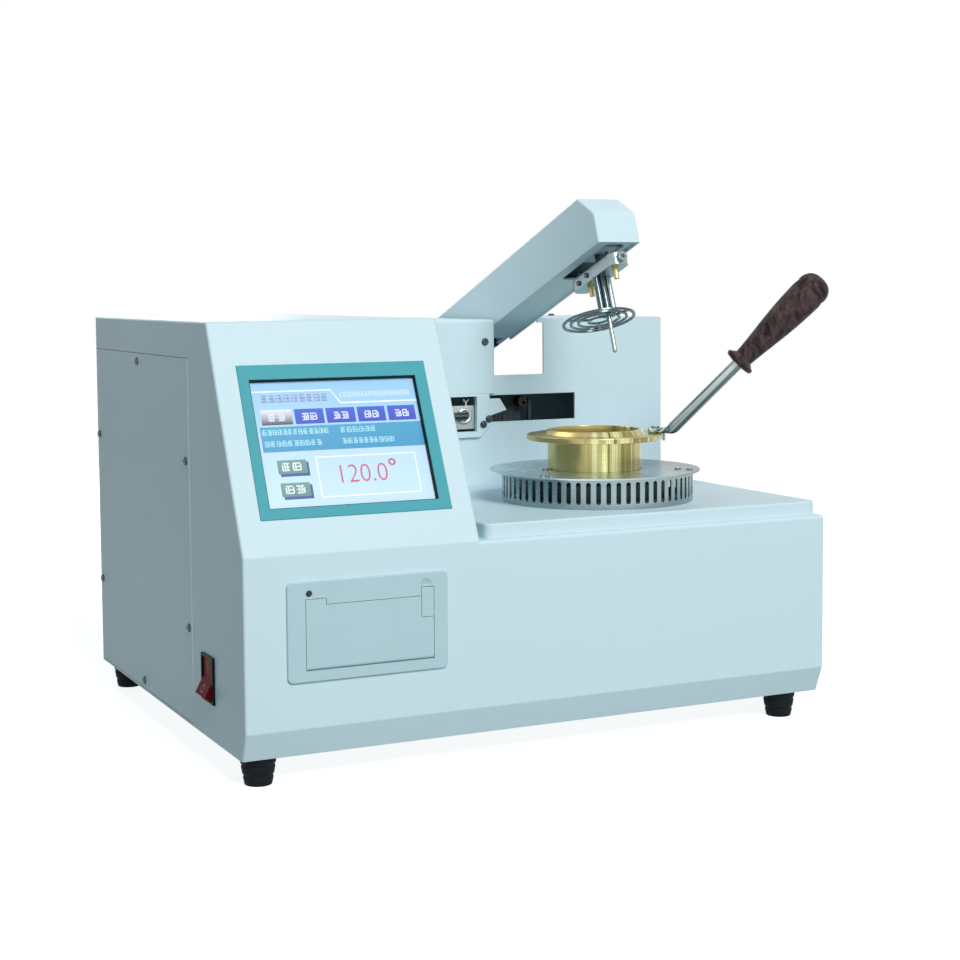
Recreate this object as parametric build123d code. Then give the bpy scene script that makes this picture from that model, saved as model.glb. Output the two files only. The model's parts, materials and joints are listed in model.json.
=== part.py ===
from build123d import *
import os
from math import asin, atan2, cos, degrees, pi, radians, sin, sqrt, tan

# Open-cup flash point tester: a sheet-steel instrument case with a sloping display panel and a panel printer
# at its left, and at its right a heater with a brass cup under a motor-driven arm that carries the test head.
#
# Working frame while building: X to the right from the left wall, Y backwards from the front face, Z up from
# the bench, millimetres. The last section moves everything so that the origin lies at the bottom centre of
# the whole object. The arm is drawn level and then raised about its shaft, as it stands at rest.

# ---------------------------------------------------------------- driving dimensions
sheet = 1.5                 # folded steel sheet of the case
fold_radius, end_radius = 2.5, 1.8      # outer radii of its folds and of its end seams
case_width = 438.0
case_depth = 356.0
foot_height = 18.5
foot_top_radius, foot_bottom_radius = 12.0, 9.0
foot_left, foot_right, foot_inset = 15.0, 24.0, 21.0
lower_height = 129.0        # case bottom to the fold under the sloping panel
chamfer_run, chamfer_rise = 7.6, 18.5
tower_width = 162.6
panel_run, panel_rise = 67.4, 144.5

seat_gap = 0.05             # round pieces seated in one another without moving
run_gap = 0.05              # shaft in its bearing
move_gap = 0.3              # between pieces that move past one another

screw_head_radius, screw_head_height, screw_radius = 2.9, 1.9, 1.5

side_panel_front, side_panel_low, side_panel_high = 109.0, 20.5, 267.0
seam = 0.4                  # open seam round a flush panel
lip = 12.0                  # strip behind a seam that carries the panel

tray_side_gap, tray_right_gap, tray_front = 7.1, 3.4, 5.0
tray_height, tray_corner = 10.0, 6.0

board_front = 217.0         # front face of the upright backboard
board_height = 140.0        # above the deck
board_right_gap = 3.0
notch_low = 96.0
slot_low, slot_high = 59.3, 80.3
tab_reach, tab_height = 5.4, 3.0
housing_height = 83.5       # rear housing above the deck
hinge_box_low = 82.0        # lower edge of the hinge housing above the deck
hinge_box_proud = 3.0       # how far it stands in front of the backboard

cup_x, cup_y = tower_width + 138.4, 92.5     # axis of heater and cup
notch_left, notch_right = cup_x - 20.0, cup_x + 24.6
slot_left, slot_right = cup_x - 24.0, cup_x + 53.0
drum_radius, drum_height, drum_wall = 69.6, 21.7, 1.0
drum_shift, drum_rim = 2.4, 5.0              # how far it stands to the right of the cup, its inturned rim
drum_slots, drum_slot_width, drum_slot_height, drum_slot_rise = 62, 3.3, 15.5, 0.65
top_plate_radius, top_plate_thickness = 76.6, 1.0
hot_plate_radius, hot_plate_thickness = 52.0, 12.0
insulator_radius, insulator_thickness = 56.0, 5.0
cup_sink = 7.6              # how far the cup base lies below the top plate

cup_outer_radius, cup_inner_radius = 34.1, 31.75
cup_base, cup_inner_depth = 3.0, 33.6
flange_radius, flange_thickness, rim_height = 49.25, 3.8, 3.6
rim_flare = 2.8             # how much wider the rim is at the flange than at its lip

handle_bearing = -28.0      # degrees from +X, seen from above
handle_rod_radius = 4.3
eye_reach, eye_radius, eye_thickness = 44.2, 5.0, 4.2
flat_length = 3.4           # round the rivet, before the bar turns from flat to round
handle_bend_reach = 55.8
handle_end_reach, handle_end_height = 103.4, 49.8       # height above the flange
handle_bend_radius = 8.0
peg_radius, peg_length = 1.1, 5.5       # peg that steadies the handle against the edge of the flange
rivet_radius, rivet_head_radius, rivet_head_height = 1.8, 3.2, 1.0
grip_length, grip_small_radius, grip_large_radius = 86.8, 7.0, 12.35
collar_radius, collar_thickness = 11.5, 4.0
tang_length = 40.0

pivot_y, pivot_z = case_depth - 41.1, 268.2     # arm shaft
arm_rise = 20.0                     # degrees above level at rest
arm_width, arm_height = 34.0, 40.8
arm_nose, arm_tail = cup_y - 47.0, pivot_y + 20.1   # ends of the level arm
arm_underside = 250.6
arm_front_height, arm_bend_radius = 22.4, 6.0
arm_shaft_radius = 5.0
arm_sheet = 1.5
arm_recess = 1.5                    # the closing plate lies this far inside the cover's lower edges
arm_open = pivot_y - 53.9           # behind this line the arm is open underneath
arm_trim = 3.0                      # and its sides end this much higher
stop_back, stop_rise, stop_radius = 32.0, 6.4, 4.0      # cross bar in the open part
rail_height = 8.0

head_y = cup_y - 14.5                       # post axis on the level arm
post_radius, probe_radius, flame_radius = 2.3, 1.6, 1.6
tube_pitch = 4.9                    # the three tubes of the head stand side by side
ring_level, ring_radius, ring_thickness = 208.0, 26.85, 1.2
probe_tip = 179.2
flame_offset = tube_pitch           # flame tube axis beside the post axis
flame_level, flame_reach, flame_tip_radius = 212.0, 16.0, 1.2
flame_park = 60.0                   # degrees, direction of the parked nozzle
bar_front, bar_rear, bar_level, bar_thickness = cup_y - 42.5, cup_y + 20.5, 240.6, 8.6
bar_left, bar_right = cup_x - 6.0, cup_x + 8.8
nipple_radius, nipple_length, nipple_spread, nipple_stud = 1.95, 6.2, 18.5, 1.8
nipple_hex_radius, nipple_hex_height = 2.9, 1.6
carrier_height = 10.0
slot_front_y, slot_rear_y = cup_y - 38.5, cup_y + 32.5      # slot in the arm's underside
slit_front_y, slit_rear_y, slit_width = cup_y - 32.0, cup_y - 19.5, 1.3
carrier_half = 15.0

upright_left_gap, upright_right_gap = 33.4, 23.0        # uprights of the arm's bearings from tower and hinge end
upright_thickness, upright_half = 4.0, 16.0
drive_y, drive_z, drive_shaft_radius = board_front + 15.0, 207.0, 3.0
drive_pulley_radius, arm_pulley_radius, belt_thickness = 7.0, 14.0, 1.5
pulley_left, pulley_width = tower_width + 63.4, 10.0
window_gap, window_width, window_rise, window_height = 5.0, 24.0, 52.5, 27.5     # window over the shaft's end
bearing_rise, bearing_height = 1.9, 18.4
bracket_hole = 16.0         # length of its screw holes
bush_radius, bush_length = 8.0, 8.0

bezel_x, bezel_slant, bezel_width, bezel_height = 15.5, 23.4, 131.6, 104.8
bezel_left, bezel_right, bezel_low, bezel_high = 7.5, 8.9, 7.6, 10.8       # its borders round the screen
screen_x, screen_slant = bezel_x + bezel_left, bezel_slant + bezel_low
screen_width = bezel_width - bezel_left - bezel_right
screen_height = bezel_height - bezel_low - bezel_high
bezel_lip = 4.2             # how far the bezel overlaps the panel
board_chip_width, board_chip_height, board_chip_thickness = 40.0, 30.0, 6.0
small_chip, small_chip_thickness, board_thickness = 22.0, 3.0, 1.6
bezel_proud, screen_recess, gasket_wall = 0.9, 3.0, 0.6

printer_x, printer_z, printer_width, printer_height = 27.9, 66.6, 110.3, 63.9
printer_proud, printer_corner = 1.8, 4.0
door_left, door_right, door_low, door_high = 40.4, 128.1, 74.0, 119.0
door_thickness = 1.9
exit_left, exit_right, exit_level = 54.0, 116.0, 115.0  # paper slot
lever_width, lever_low, lever_high = 8.5, 101.5, 120.6
bin_depth, bin_wall = 52.0, 1.5
roll_radius, roll_width, roll_core = 17.0, 57.0, 6.0
platen_radius, platen_y, platen_z = 4.0, 9.0, 109.5

switch_y, switch_z, switch_width, switch_length = 73.2, 58.7, 25.5, 31.0
switch_proud, rocker_radius, rocker_width, rocker_tilt = 1.8, 13.8, 20.4, 14.0
rocker_pivot = 2.5          # behind the wall's outer face

fan_right_gap = 53.0
fan_x, fan_z, fan_size, fan_depth = case_width - fan_right_gap, 78.0, 60.0, 20.0
fan_hub_radius, fan_wing_reach, fan_wing_width, fan_wing_depth, fan_wing_thickness = 12.5, 19.0, 18.0, 15.0, 1.2
fan_bore, fan_rotor_radius, fan_blades = 28.5, 27.6, 7

# ---------------------------------------------------------------- places that follow from them
base_z = foot_height
fold_z = base_z + lower_height              # also the deck beside the tower
tower_z = fold_z + panel_rise
shell_back = case_depth - sheet             # the rear panel lies behind the shell
slope = degrees(atan2(panel_run, panel_rise))
panel = Plane(origin=(0, 0, fold_z), x_dir=(1, 0, 0), z_dir=(0, -cos(radians(slope)), sin(radians(slope))))

tray_left, tray_right = tower_width + tray_side_gap, case_width - tray_right_gap
tray_top = fold_z + tray_height
board_back = board_front + sheet
board_top = fold_z + board_height
board_right = case_width - board_right_gap
housing_top = fold_z + housing_height
hinge_right = notch_left
hinge_front = board_front - hinge_box_proud
hinge_low = fold_z + hinge_box_low

plate_top = tray_top + drum_height + top_plate_thickness
seat_z = plate_top - cup_sink
hot_plate_low = seat_z - hot_plate_thickness
insulator_low = hot_plate_low - insulator_thickness
rim_z = seat_z + cup_base + cup_inner_depth
flange_top = rim_z - rim_height
cup_place = Pos(cup_x, cup_y, 0)

arm_left, arm_right = cup_x - arm_width / 2, cup_x + arm_width / 2
arm_top = arm_underside + arm_height
arm_plate_top = arm_underside + arm_recess + arm_sheet
carrier_top = arm_plate_top + carrier_height
raised = Pos(0, pivot_y, pivot_z) * Rot(-arm_rise, 0, 0) * Pos(0, -pivot_y, -pivot_z)
flame_x = cup_x + flame_offset

door_axis_y = -printer_proud + door_thickness
door_axis_z = door_low + door_thickness
bin_low = door_low - move_gap
roll_y, roll_z = 26.0, bin_low + move_gap + roll_radius
roll_x = (exit_left + exit_right) / 2
bin_left, bin_right = printer_x + 6, printer_x + printer_width - 6
bin_high = printer_z + printer_height - 5
lever_right = door_right
lever_left = lever_right - lever_width

pieces = {}


# ---------------------------------------------------------------- helpers
def block(x0, x1, y0, y1, z0, z1):
    """A box between two corners."""
    return Pos((x0 + x1) / 2, (y0 + y1) / 2, (z0 + z1) / 2) * Box(x1 - x0, y1 - y0, z1 - z0)


def prism_x(points, x0, x1):
    """A (y, z) outline carried from x0 to x1."""
    face = make_face(Polyline(*[(x0, y, z) for y, z in points], close=True))
    return extrude(face, x1 - x0, dir=(1, 0, 0))


def prism_y(points, y0, y1):
    """An (x, z) outline carried from y0 to y1."""
    face = make_face(Polyline(*[(x, y0, z) for x, z in points], close=True))
    return extrude(face, y1 - y0, dir=(0, 1, 0))


def rod_x(x0, x1, y, z, radius):
    return Pos((x0 + x1) / 2, y, z) * Rot(0, 90, 0) * Cylinder(radius, x1 - x0)


def rod_y(y0, y1, x, z, radius):
    return Pos(x, (y0 + y1) / 2, z) * Rot(90, 0, 0) * Cylinder(radius, y1 - y0)


def rod_z(z0, z1, x, y, radius):
    return Pos(x, y, (z0 + z1) / 2) * Cylinder(radius, z1 - z0)


def turned(points, about=(0, 0)):
    """A closed (radius, z) outline turned about an upright axis."""
    face = make_face(Polyline(*[(r, 0, z) for r, z in points], close=True))
    return Pos(about[0], about[1], 0) * revolve(face, Axis.Z)


def shrink(points, walls):
    """A convex outline with edge k, from point k to the next, moved inwards by walls[k]."""
    count = len(points)
    area = sum(points[k][0] * points[(k + 1) % count][1] - points[(k + 1) % count][0] * points[k][1]
               for k in range(count))
    side = 1 if area > 0 else -1
    lines = []
    for k in range(count):
        (x0, y0), (x1, y1) = points[k], points[(k + 1) % count]
        length = sqrt((x1 - x0) ** 2 + (y1 - y0) ** 2)
        nx, ny = -side * (y1 - y0) / length, side * (x1 - x0) / length
        lines.append((nx, ny, nx * x0 + ny * y0 + walls[k]))
    corners = []
    for k in range(count):
        (a, b, c), (d, e, f) = lines[k - 1], lines[k]
        det = a * e - b * d
        corners.append(((c * e - b * f) / det, (a * f - c * d) / det))
    return corners


def rounded(solid, axis, radius):
    """The solid with its edges along one axis rounded."""
    return fillet(solid.edges().filter_by(axis), radius)


def screw(length=6.0):
    """A pan-head cross screw, seated at z = 0 with its head above."""
    dome = turned([(0, 0), (screw_head_radius, 0), (screw_head_radius, 0.45 * screw_head_height),
                   (0.72 * screw_head_radius, 0.9 * screw_head_height), (0, screw_head_height)])
    cross = Box(0.6, 3.2, 1.6) + Box(3.2, 0.6, 1.6)
    return dome - Pos(0, 0, screw_head_height) * cross + rod_z(-length, 0, 0, 0, screw_radius)


def faced(point, direction):
    """The place of a screw whose head looks along a direction."""
    return Location(Plane(origin=point, z_dir=direction))


def screws(points, direction, length=6.0):
    return [faced(p, direction) * screw(length) for p in points]


def holes(points, direction, radius=screw_radius + run_gap, depth=14.0):
    return [faced(p, direction) * Cylinder(radius, depth) for p in points]


# ---------------------------------------------------------------- case
low_outline = [(chamfer_run, base_z), (0, base_z + chamfer_rise), (0, fold_z), (shell_back, fold_z),
               (shell_back, base_z)]
tower_outline = low_outline[:3] + [(panel_run, tower_z), (shell_back, tower_z), (shell_back, base_z)]

screw_margin, side_margin = 8.0, 4.5        # screws from an edge: on the rear panel, behind the side panel
corner_margin = 10.0
side_mid = side_panel_front + 0.515 * (shell_back - side_panel_front)
side_screw_points = [(0, y, z) for y, z in (
    (side_mid, side_panel_high - 6), (shell_back - side_margin, fold_z + 52.5),
    (side_panel_front + screw_margin, fold_z + 50.5), (shell_back - side_margin, base_z + 66.5),
    (side_panel_front + screw_margin - 1, base_z + 66.5), (side_mid - 3, base_z + 7.5))]
rear_screw_points = [(x, case_depth, z) for x, z in (
    (corner_margin, tower_z - screw_margin), (tower_width - 12.6, tower_z - screw_margin),
    (corner_margin, fold_z + 2.5), (corner_margin, base_z + screw_margin),
    (case_width - corner_margin, base_z + screw_margin), (case_width - corner_margin, fold_z - 7.5),
    (case_width / 2 + 6, base_z + screw_margin), (case_width - corner_margin, housing_top - screw_margin))]
roof_screw_points = [(board_right - 33.0, shell_back - 9.0, board_top)]
hinge_screw_points = [(x, hinge_front, board_top - 17.3) for x in (hinge_right - 8.8, tower_width + 13.4)]
window_left = pulley_left + pulley_width + window_gap
window_right = window_left + window_width
window_low, window_high = fold_z + window_rise, fold_z + window_rise + window_height
window_frame = 4.5
bracket_screw_points = [(window_right + dx, hinge_front, window_low + dz) for dx, dz in ((5.4, 5.4), (10.3, 9.6))]

gas_x, gas_z, gas_radius, gas_length = tower_width + 42.4, base_z + 56.5, 4.0, 18.0
gas_bore, gas_nut_radius, gas_nut_length = 2.0, 8.0, 6.0
inlet_x, inlet_z, inlet_width, inlet_height = 60.0, base_z + 41.5, 24.0, 16.0
inlet_frame, inlet_frame_height, inlet_depth, inlet_wall = 4.0, 2.0, 20.0, 1.5
guard_radii, guard_wire = (22.5, 15.5, 8.5), 2.0


def folded(points, x0, x1, folds):
    """A (y, z) outline carried from x0 to x1, rounded at its folds and round its ends."""
    face = make_face(Polyline(*[(x0, y, z) for y, z in points], close=True))
    corners = [v for v in face.vertices() for k in folds if abs(v.Y - points[k][0]) + abs(v.Z - points[k][1]) < 0.01]
    solid = extrude(fillet(corners, fold_radius), x1 - x0, dir=(1, 0, 0))
    return fillet([e for e in solid.edges().filter_by(Plane.YZ) if e.center().Z > base_z + 0.5
                   and e.center().Y < shell_back - 0.5], end_radius)


def make_shell():
    body = folded(tower_outline, 0, tower_width, (1, 2, 3)) + folded(low_outline, tower_width - 3, case_width, (1, 2))
    body -= prism_x(shrink(low_outline, [sheet, sheet, sheet, -5, -5]), sheet, case_width - sheet)
    body -= prism_x(shrink(tower_outline, [sheet] * 4 + [-5, -5]), sheet, tower_width - sheet)
    # left wall: opening for the access panel, with a strip behind its seam
    frame = block(sheet, 2 * sheet, side_panel_front - lip, shell_back, base_z + sheet, side_panel_high + lip)
    frame -= block(0, 9, side_panel_front + lip, shell_back - lip, side_panel_low + lip, side_panel_high - lip)
    body -= block(-5, sheet, side_panel_front - seam, shell_back + 5, side_panel_low - seam,
                  side_panel_high + seam)
    body += frame
    body -= holes(side_screw_points, (-1, 0, 0))
    # display and printer windows, switch window, heater opening, drive shaft hole
    body -= panel * Pos(bezel_x + bezel_width / 2, bezel_slant + bezel_height / 2, 0) * Box(
        bezel_width - 8, bezel_height - 8, 30)
    body -= block(bin_left - bin_wall, bin_right + bin_wall, -5, 5, bin_low - bin_wall, bin_high + bin_wall)
    body -= block(-5, 5, switch_y - switch_width / 2 + 1.5, switch_y + switch_width / 2 - 1.5,
                  switch_z - switch_length / 2 + 1.0, switch_z + switch_length / 2 - 1.0)
    body -= rod_z(fold_z - 5, fold_z + 5, cup_x, cup_y, insulator_radius - 16)
    body -= rod_x(tower_width - 5, tower_width + 5, drive_y, drive_z, drive_shaft_radius + 2)
    return body


pan_front, pan_rear = 12.0, 16.0        # heights of the pan's upturned edges
vent_pitch, vent_width, vent_count = 9.0, 4.0, 9


def make_base_pan():
    floor_front = chamfer_run + 3
    pan = block(sheet, case_width - sheet, floor_front, shell_back, base_z, base_z + sheet)
    pan += block(sheet * 2, case_width - sheet, floor_front, floor_front + sheet, base_z, base_z + pan_front)
    pan += block(sheet * 2, case_width - sheet, shell_back - sheet, shell_back, base_z, base_z + pan_rear)
    pan -= [block(tower_width + vent_pitch * (k - 1.4), tower_width + vent_pitch * (k - 1.4) + vent_width,
                  case_depth / 3, case_depth / 2, base_z - 1, base_z + 2 * sheet) for k in range(vent_count)]
    pan -= [rod_z(base_z - 1, base_z + 2 * sheet, x, y, screw_radius + 1 + seat_gap) for x, y in foot_points]
    return pan - holes([p for p in rear_screw_points if p[2] < base_z + pan_rear], (0, 1, 0))


def make_foot(x, y):
    foot = Pos(x, y, foot_height / 2) * Cone(foot_bottom_radius, foot_top_radius, foot_height)
    foot -= rod_z(-1, 7, x, y, 4.5)
    return foot + rod_z(base_z, base_z + 4, x, y, screw_radius + 1)


foot_points = [(x, y) for x in (foot_left, case_width - foot_right) for y in (foot_inset, case_depth - foot_inset)]
pieces["rubber_feet"] = Compound([make_foot(x, y) for x, y in foot_points])
pieces["main_shell"] = make_shell()
pieces["base_pan"] = make_base_pan()
pieces["left_side_panel"] = block(0, sheet, side_panel_front, shell_back, side_panel_low, side_panel_high) - holes(
    side_screw_points, (-1, 0, 0))


louvre_count, louvre_pitch, louvre_width = 8, 14.0, 4.0


def make_rear_panel():
    outline = [(0, base_z), (case_width, base_z), (case_width, fold_z), (board_right, fold_z),
               (board_right, housing_top), (hinge_right, housing_top), (hinge_right, board_top),
               (tower_width, board_top), (tower_width, tower_z), (0, tower_z)]
    plate = prism_y(outline, shell_back, case_depth)
    plate -= rod_y(shell_back - 1, case_depth + 1, fan_x, fan_z, fan_bore)
    for radius in guard_radii:          # stamped finger guard in front of the fan
        plate += rod_y(shell_back, case_depth, fan_x, fan_z, radius) - rod_y(
            shell_back - 1, case_depth + 1, fan_x, fan_z, radius - guard_wire)
    for k in range(4):
        plate += Pos(fan_x, 0, fan_z) * Rot(0, 45 + 90 * k, 0) * block(
            guard_radii[-1] - guard_wire + 0.5, fan_bore + 0.5, shell_back, case_depth, -guard_wire / 2, guard_wire / 2)
    plate -= block(inlet_x - inlet_width / 2, inlet_x + inlet_width / 2, shell_back - 1, case_depth + 1,
                   inlet_z - inlet_height / 2, inlet_z + inlet_height / 2)
    plate -= rod_y(shell_back - 1, case_depth + 1, gas_x, gas_z, gas_radius + 1)
    for k in range(louvre_count):
        left = tower_width / 2 + louvre_pitch * (k - louvre_count / 2) + louvre_width
        plate -= rounded(block(left, left + louvre_width, shell_back - 1, case_depth + 1, fold_z + 57, fold_z + 107),
                         Axis.Y, louvre_width / 2.1)
    return plate - holes(rear_screw_points, (0, 1, 0))


pieces["rear_panel"] = make_rear_panel()

# ---------------------------------------------------------------- worktop, backboard and housings behind it
def make_tray():
    tray = rounded(block(tray_left, tray_right, tray_front, board_front, fold_z, tray_top), Axis.Z, tray_corner)
    tray = fillet(tray.faces().sort_by(Axis.Z)[-1].edges(), sheet)
    hollow = rounded(block(tray_left + sheet, tray_right - sheet, tray_front + sheet, board_front - sheet,
                           fold_z - 1, tray_top - sheet), Axis.Z, tray_corner - sheet)
    return tray - hollow - rod_z(fold_z, tray_top + 1, cup_x, cup_y, insulator_radius + 4)


foot_flange = 14.0
housing_vents = (20.0, 30.0)            # heights of two long vents above the deck


def make_backboard():
    left = hinge_right + move_gap
    outline = [(tower_width, fold_z), (board_right, fold_z), (board_right, board_top),
               (notch_right - tab_reach, board_top), (notch_right - tab_reach, board_top - tab_height),
               (notch_right, board_top - tab_height), (notch_right, fold_z + notch_low),
               (left, fold_z + notch_low), (left, hinge_low), (tower_width, hinge_low)]
    board = prism_y(outline, board_front, board_back)
    # roof and right wall behind its upper right part, and the foot it stands on
    board += block(board_right - sheet, board_right, board_front, shell_back, housing_top, board_top)
    board += block(notch_right + tab_reach, board_right, board_front, shell_back, board_top - sheet, board_top)
    board += block(tower_width, board_right, board_front, board_back + foot_flange, fold_z, fold_z + sheet)
    board = fillet([e for e in board.edges().filter_by(Axis.Y) if e.center().X > board_right - 0.1
                    and e.center().Z > board_top - 0.1], sheet)
    board -= holes(roof_screw_points, (0, 0, 1))
    board -= block(slot_left, slot_right, board_front - 1, board_back + 1, fold_z + slot_low, fold_z + slot_high)
    board -= block(window_left, window_right, board_front - 1, board_back + 1, window_low, window_high)
    return board - holes(bracket_screw_points, (0, -1, 0), depth=16)


def make_rear_housing():
    cover = block(hinge_right, board_right, board_back, shell_back, housing_top - sheet, housing_top)
    cover += block(board_right - sheet, board_right, board_back, shell_back, fold_z + sheet, housing_top)
    return cover - [block(board_right - 2 * sheet, board_right + 1, board_back + 40, shell_back - 30,
                          fold_z + low, fold_z + low + vent_width) for low in housing_vents]


def make_hinge_housing():
    box = block(tower_width, hinge_right, hinge_front, shell_back, hinge_low, board_top)
    box = fillet([e for e in box.edges() if e.center().Y < shell_back - 1 and e.center().Z > hinge_low + 1
                  and e.center().X > tower_width + 1], fold_radius)
    box -= block(tower_width - 1, hinge_right - sheet, hinge_front + sheet, shell_back + 1, hinge_low - 1,
                 board_top - sheet)
    box += block(tower_width, tower_width + sheet, board_back, shell_back, hinge_low, board_top - sheet)
    box += block(tower_width + 2 * sheet, hinge_right - sheet, hinge_front + sheet, board_front + 12,
                 board_top - 10, board_top - sheet)
    box -= rod_x(hinge_right - 5, hinge_right + 5, pivot_y, pivot_z, arm_shaft_radius + 2)
    box -= holes(hinge_screw_points, (0, -1, 0))
    return box - block(tower_width, hinge_right, hinge_front - 1, board_front, fold_z, hinge_low)


def make_bracket():
    left, right, low = window_left - 15.0, window_right, window_low
    outline = [(left, low - window_frame), (right + 3, low - window_frame), (right + 12.6, low + 6),
               (right + 12.6, low + 12.4), (right + 25.9, low + 16.2), (right + 20.0, low + 25.4),
               (right + 11.0, low + 25.4), (right + 11.0, hinge_low), (left, hinge_low)]
    plate = prism_y(outline, hinge_front, board_front)
    plate -= block(window_left, window_right, hinge_front - 1, board_front + 1, window_low, window_high)
    return plate - holes(bracket_screw_points, (0, -1, 0), depth=bracket_hole)


pieces["worktop_tray"] = make_tray()
pieces["backboard"] = make_backboard()
pieces["rear_housing"] = make_rear_housing()
pieces["hinge_housing"] = make_hinge_housing()
pieces["mechanism_bracket"] = make_bracket()
pieces["cover_screws"] = Compound(screws(side_screw_points, (-1, 0, 0), 4.0) + screws(
    rear_screw_points, (0, 1, 0), 4.0) + screws(hinge_screw_points + bracket_screw_points, (0, -1, 0), 4.0)
    + screws(roof_screw_points, (0, 0, 1), 4.0))

# ---------------------------------------------------------------- arm shaft, its bearings and the lift drive
upright_left, upright_right = tower_width + upright_left_gap, hinge_right - upright_right_gap
shaft_left, shaft_right = upright_left - 6, arm_right - arm_sheet


def make_hinge_bracket():
    low = fold_z
    frame = block(upright_left, upright_right + upright_thickness, pivot_y - upright_half,
                  pivot_y + upright_half, low, low + 3)
    for x in (upright_left, upright_right):
        frame += block(x, x + upright_thickness, pivot_y - upright_half, pivot_y + upright_half, low, pivot_z)
        frame += rod_x(x, x + upright_thickness, pivot_y, pivot_z, upright_half)
        frame -= rod_x(x - 1, x + upright_thickness + 1, pivot_y, pivot_z, bush_radius + seat_gap)
    return frame + block(upright_left, upright_right + upright_thickness, pivot_y - 4, pivot_y + 4,
                         low + 40, low + 44)


def make_bushes():
    middles = [x + upright_thickness / 2 for x in (upright_left, upright_right)]
    return [rod_x(x - bush_length / 2, x + bush_length / 2, pivot_y, pivot_z, bush_radius)
            - rod_x(x - bush_length, x + bush_length, pivot_y, pivot_z, arm_shaft_radius + run_gap)
            for x in middles]


def belt_loop(extra):
    """Both pulleys' outlines and the straight runs between them, grown by extra, as one solid."""
    x0, x1 = pulley_left + 1, pulley_left + pulley_width - 1
    dy, dz = pivot_y - drive_y, pivot_z - drive_z
    span = sqrt(dy * dy + dz * dz)
    along = atan2(dz, dy)
    lean = asin((arm_pulley_radius - drive_pulley_radius) / span)
    small, large = drive_pulley_radius + extra, arm_pulley_radius + extra
    quad = []
    for side in (1, -1):
        a = along + side * (pi / 2 + lean)
        quad.append([(drive_y + small * cos(a), drive_z + small * sin(a)),
                     (pivot_y + large * cos(a), pivot_z + large * sin(a))])
    body = prism_x([quad[0][0], quad[0][1], quad[1][1], quad[1][0]], x0, x1)
    return body + rod_x(x0, x1, drive_y, drive_z, small) + rod_x(x0, x1, pivot_y, pivot_z, large)


def make_pulley(y, z, radius, shaft_radius):
    wheel = rod_x(pulley_left + 1, pulley_left + pulley_width - 1, y, z, radius)
    for x in (pulley_left, pulley_left + pulley_width - 1):
        wheel += rod_x(x, x + 1, y, z, radius + belt_thickness + 1)
    return wheel - rod_x(pulley_left - 1, pulley_left + pulley_width + 1, y, z, shaft_radius + seat_gap)


block_left, block_right = window_left + 1.5, window_right - 0.5
block_low, block_depth = window_low + bearing_rise, 24.0
block_high = block_low + bearing_height
motor_radius, gearbox_radius, motor_length, gearbox_length = 17.0, 18.5, 46.0, 20.0
motor_face = tower_width - sheet

pieces["hinge_bracket"] = make_hinge_bracket()
pieces["shaft_bushes"] = Compound(make_bushes())
pieces["arm_shaft"] = rod_x(shaft_left, shaft_right, pivot_y, pivot_z, arm_shaft_radius)
pieces["arm_pulley"] = make_pulley(pivot_y, pivot_z, arm_pulley_radius, arm_shaft_radius)
pieces["drive_pulley"] = make_pulley(drive_y, drive_z, drive_pulley_radius, drive_shaft_radius)
pieces["drive_shaft"] = rod_x(motor_face - gearbox_length / 2, block_right - 2, drive_y, drive_z,
                              drive_shaft_radius)
pieces["drive_belt"] = belt_loop(move_gap + belt_thickness) - belt_loop(move_gap)
pieces["bearing_block"] = block(block_left, block_right, board_back, board_back + block_depth, block_low,
                                block_high) - rod_x(block_left - 1, block_right - 1, drive_y, drive_z,
                                                    drive_shaft_radius + run_gap)
pieces["lift_motor"] = (
    rod_x(motor_face - gearbox_length, motor_face, drive_y, drive_z, gearbox_radius)
    + rod_x(motor_face - gearbox_length - motor_length, motor_face - gearbox_length, drive_y, drive_z,
            motor_radius)
    - rod_x(motor_face - gearbox_length / 2 - run_gap, motor_face + 1, drive_y, drive_z,
            drive_shaft_radius + run_gap))

# ---------------------------------------------------------------- heater
stay_radius, stay_circle = 3.0, 48.0
pin_points = [(cup_x - 36.4, cup_y + 7.8), (cup_x - 61.4, cup_y - 35.4), (cup_x - 56.8, cup_y - 38.4),
              (cup_x + 49.2, cup_y - 35.6), (cup_x + 55.0, cup_y - 42.2)]
pin_height = 0.9


def make_drum():
    low, high = tray_top, plate_top - top_plate_thickness
    drum = turned([(drum_radius - drum_wall, low), (drum_radius, low), (drum_radius, high),
                   (drum_radius - drum_rim, high), (drum_radius - drum_rim, high - drum_wall),
                   (drum_radius - drum_wall, high - drum_wall)])
    slot = rounded(Box(5 * drum_wall, drum_slot_width, drum_slot_height), Axis.X, drum_slot_width / 2.05)
    slot = Pos(drum_radius - drum_wall / 2, 0, (low + high) / 2 + drum_slot_rise) * slot
    cuts = [Rot(0, 0, 360 / drum_slots * (k + 0.5)) * slot for k in range(drum_slots)]
    return Pos(drum_shift, 0, 0) * cup_place * (drum - cuts)


def make_top_plate():
    plate = cup_place * (rod_z(plate_top - top_plate_thickness, plate_top, 0, 0, top_plate_radius)
                         - rod_z(plate_top - 5, plate_top + 5, 0, 0, cup_outer_radius + 0.6))
    return plate - [rod_z(plate_top - 5, plate_top + 5, x, y, screw_radius + seat_gap) for x, y in pin_points]


def stay_points():
    return [(cup_x + stay_circle * cos(radians(30 + 120 * k)), cup_y + stay_circle * sin(radians(30 + 120 * k)))
            for k in range(3)]


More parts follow.
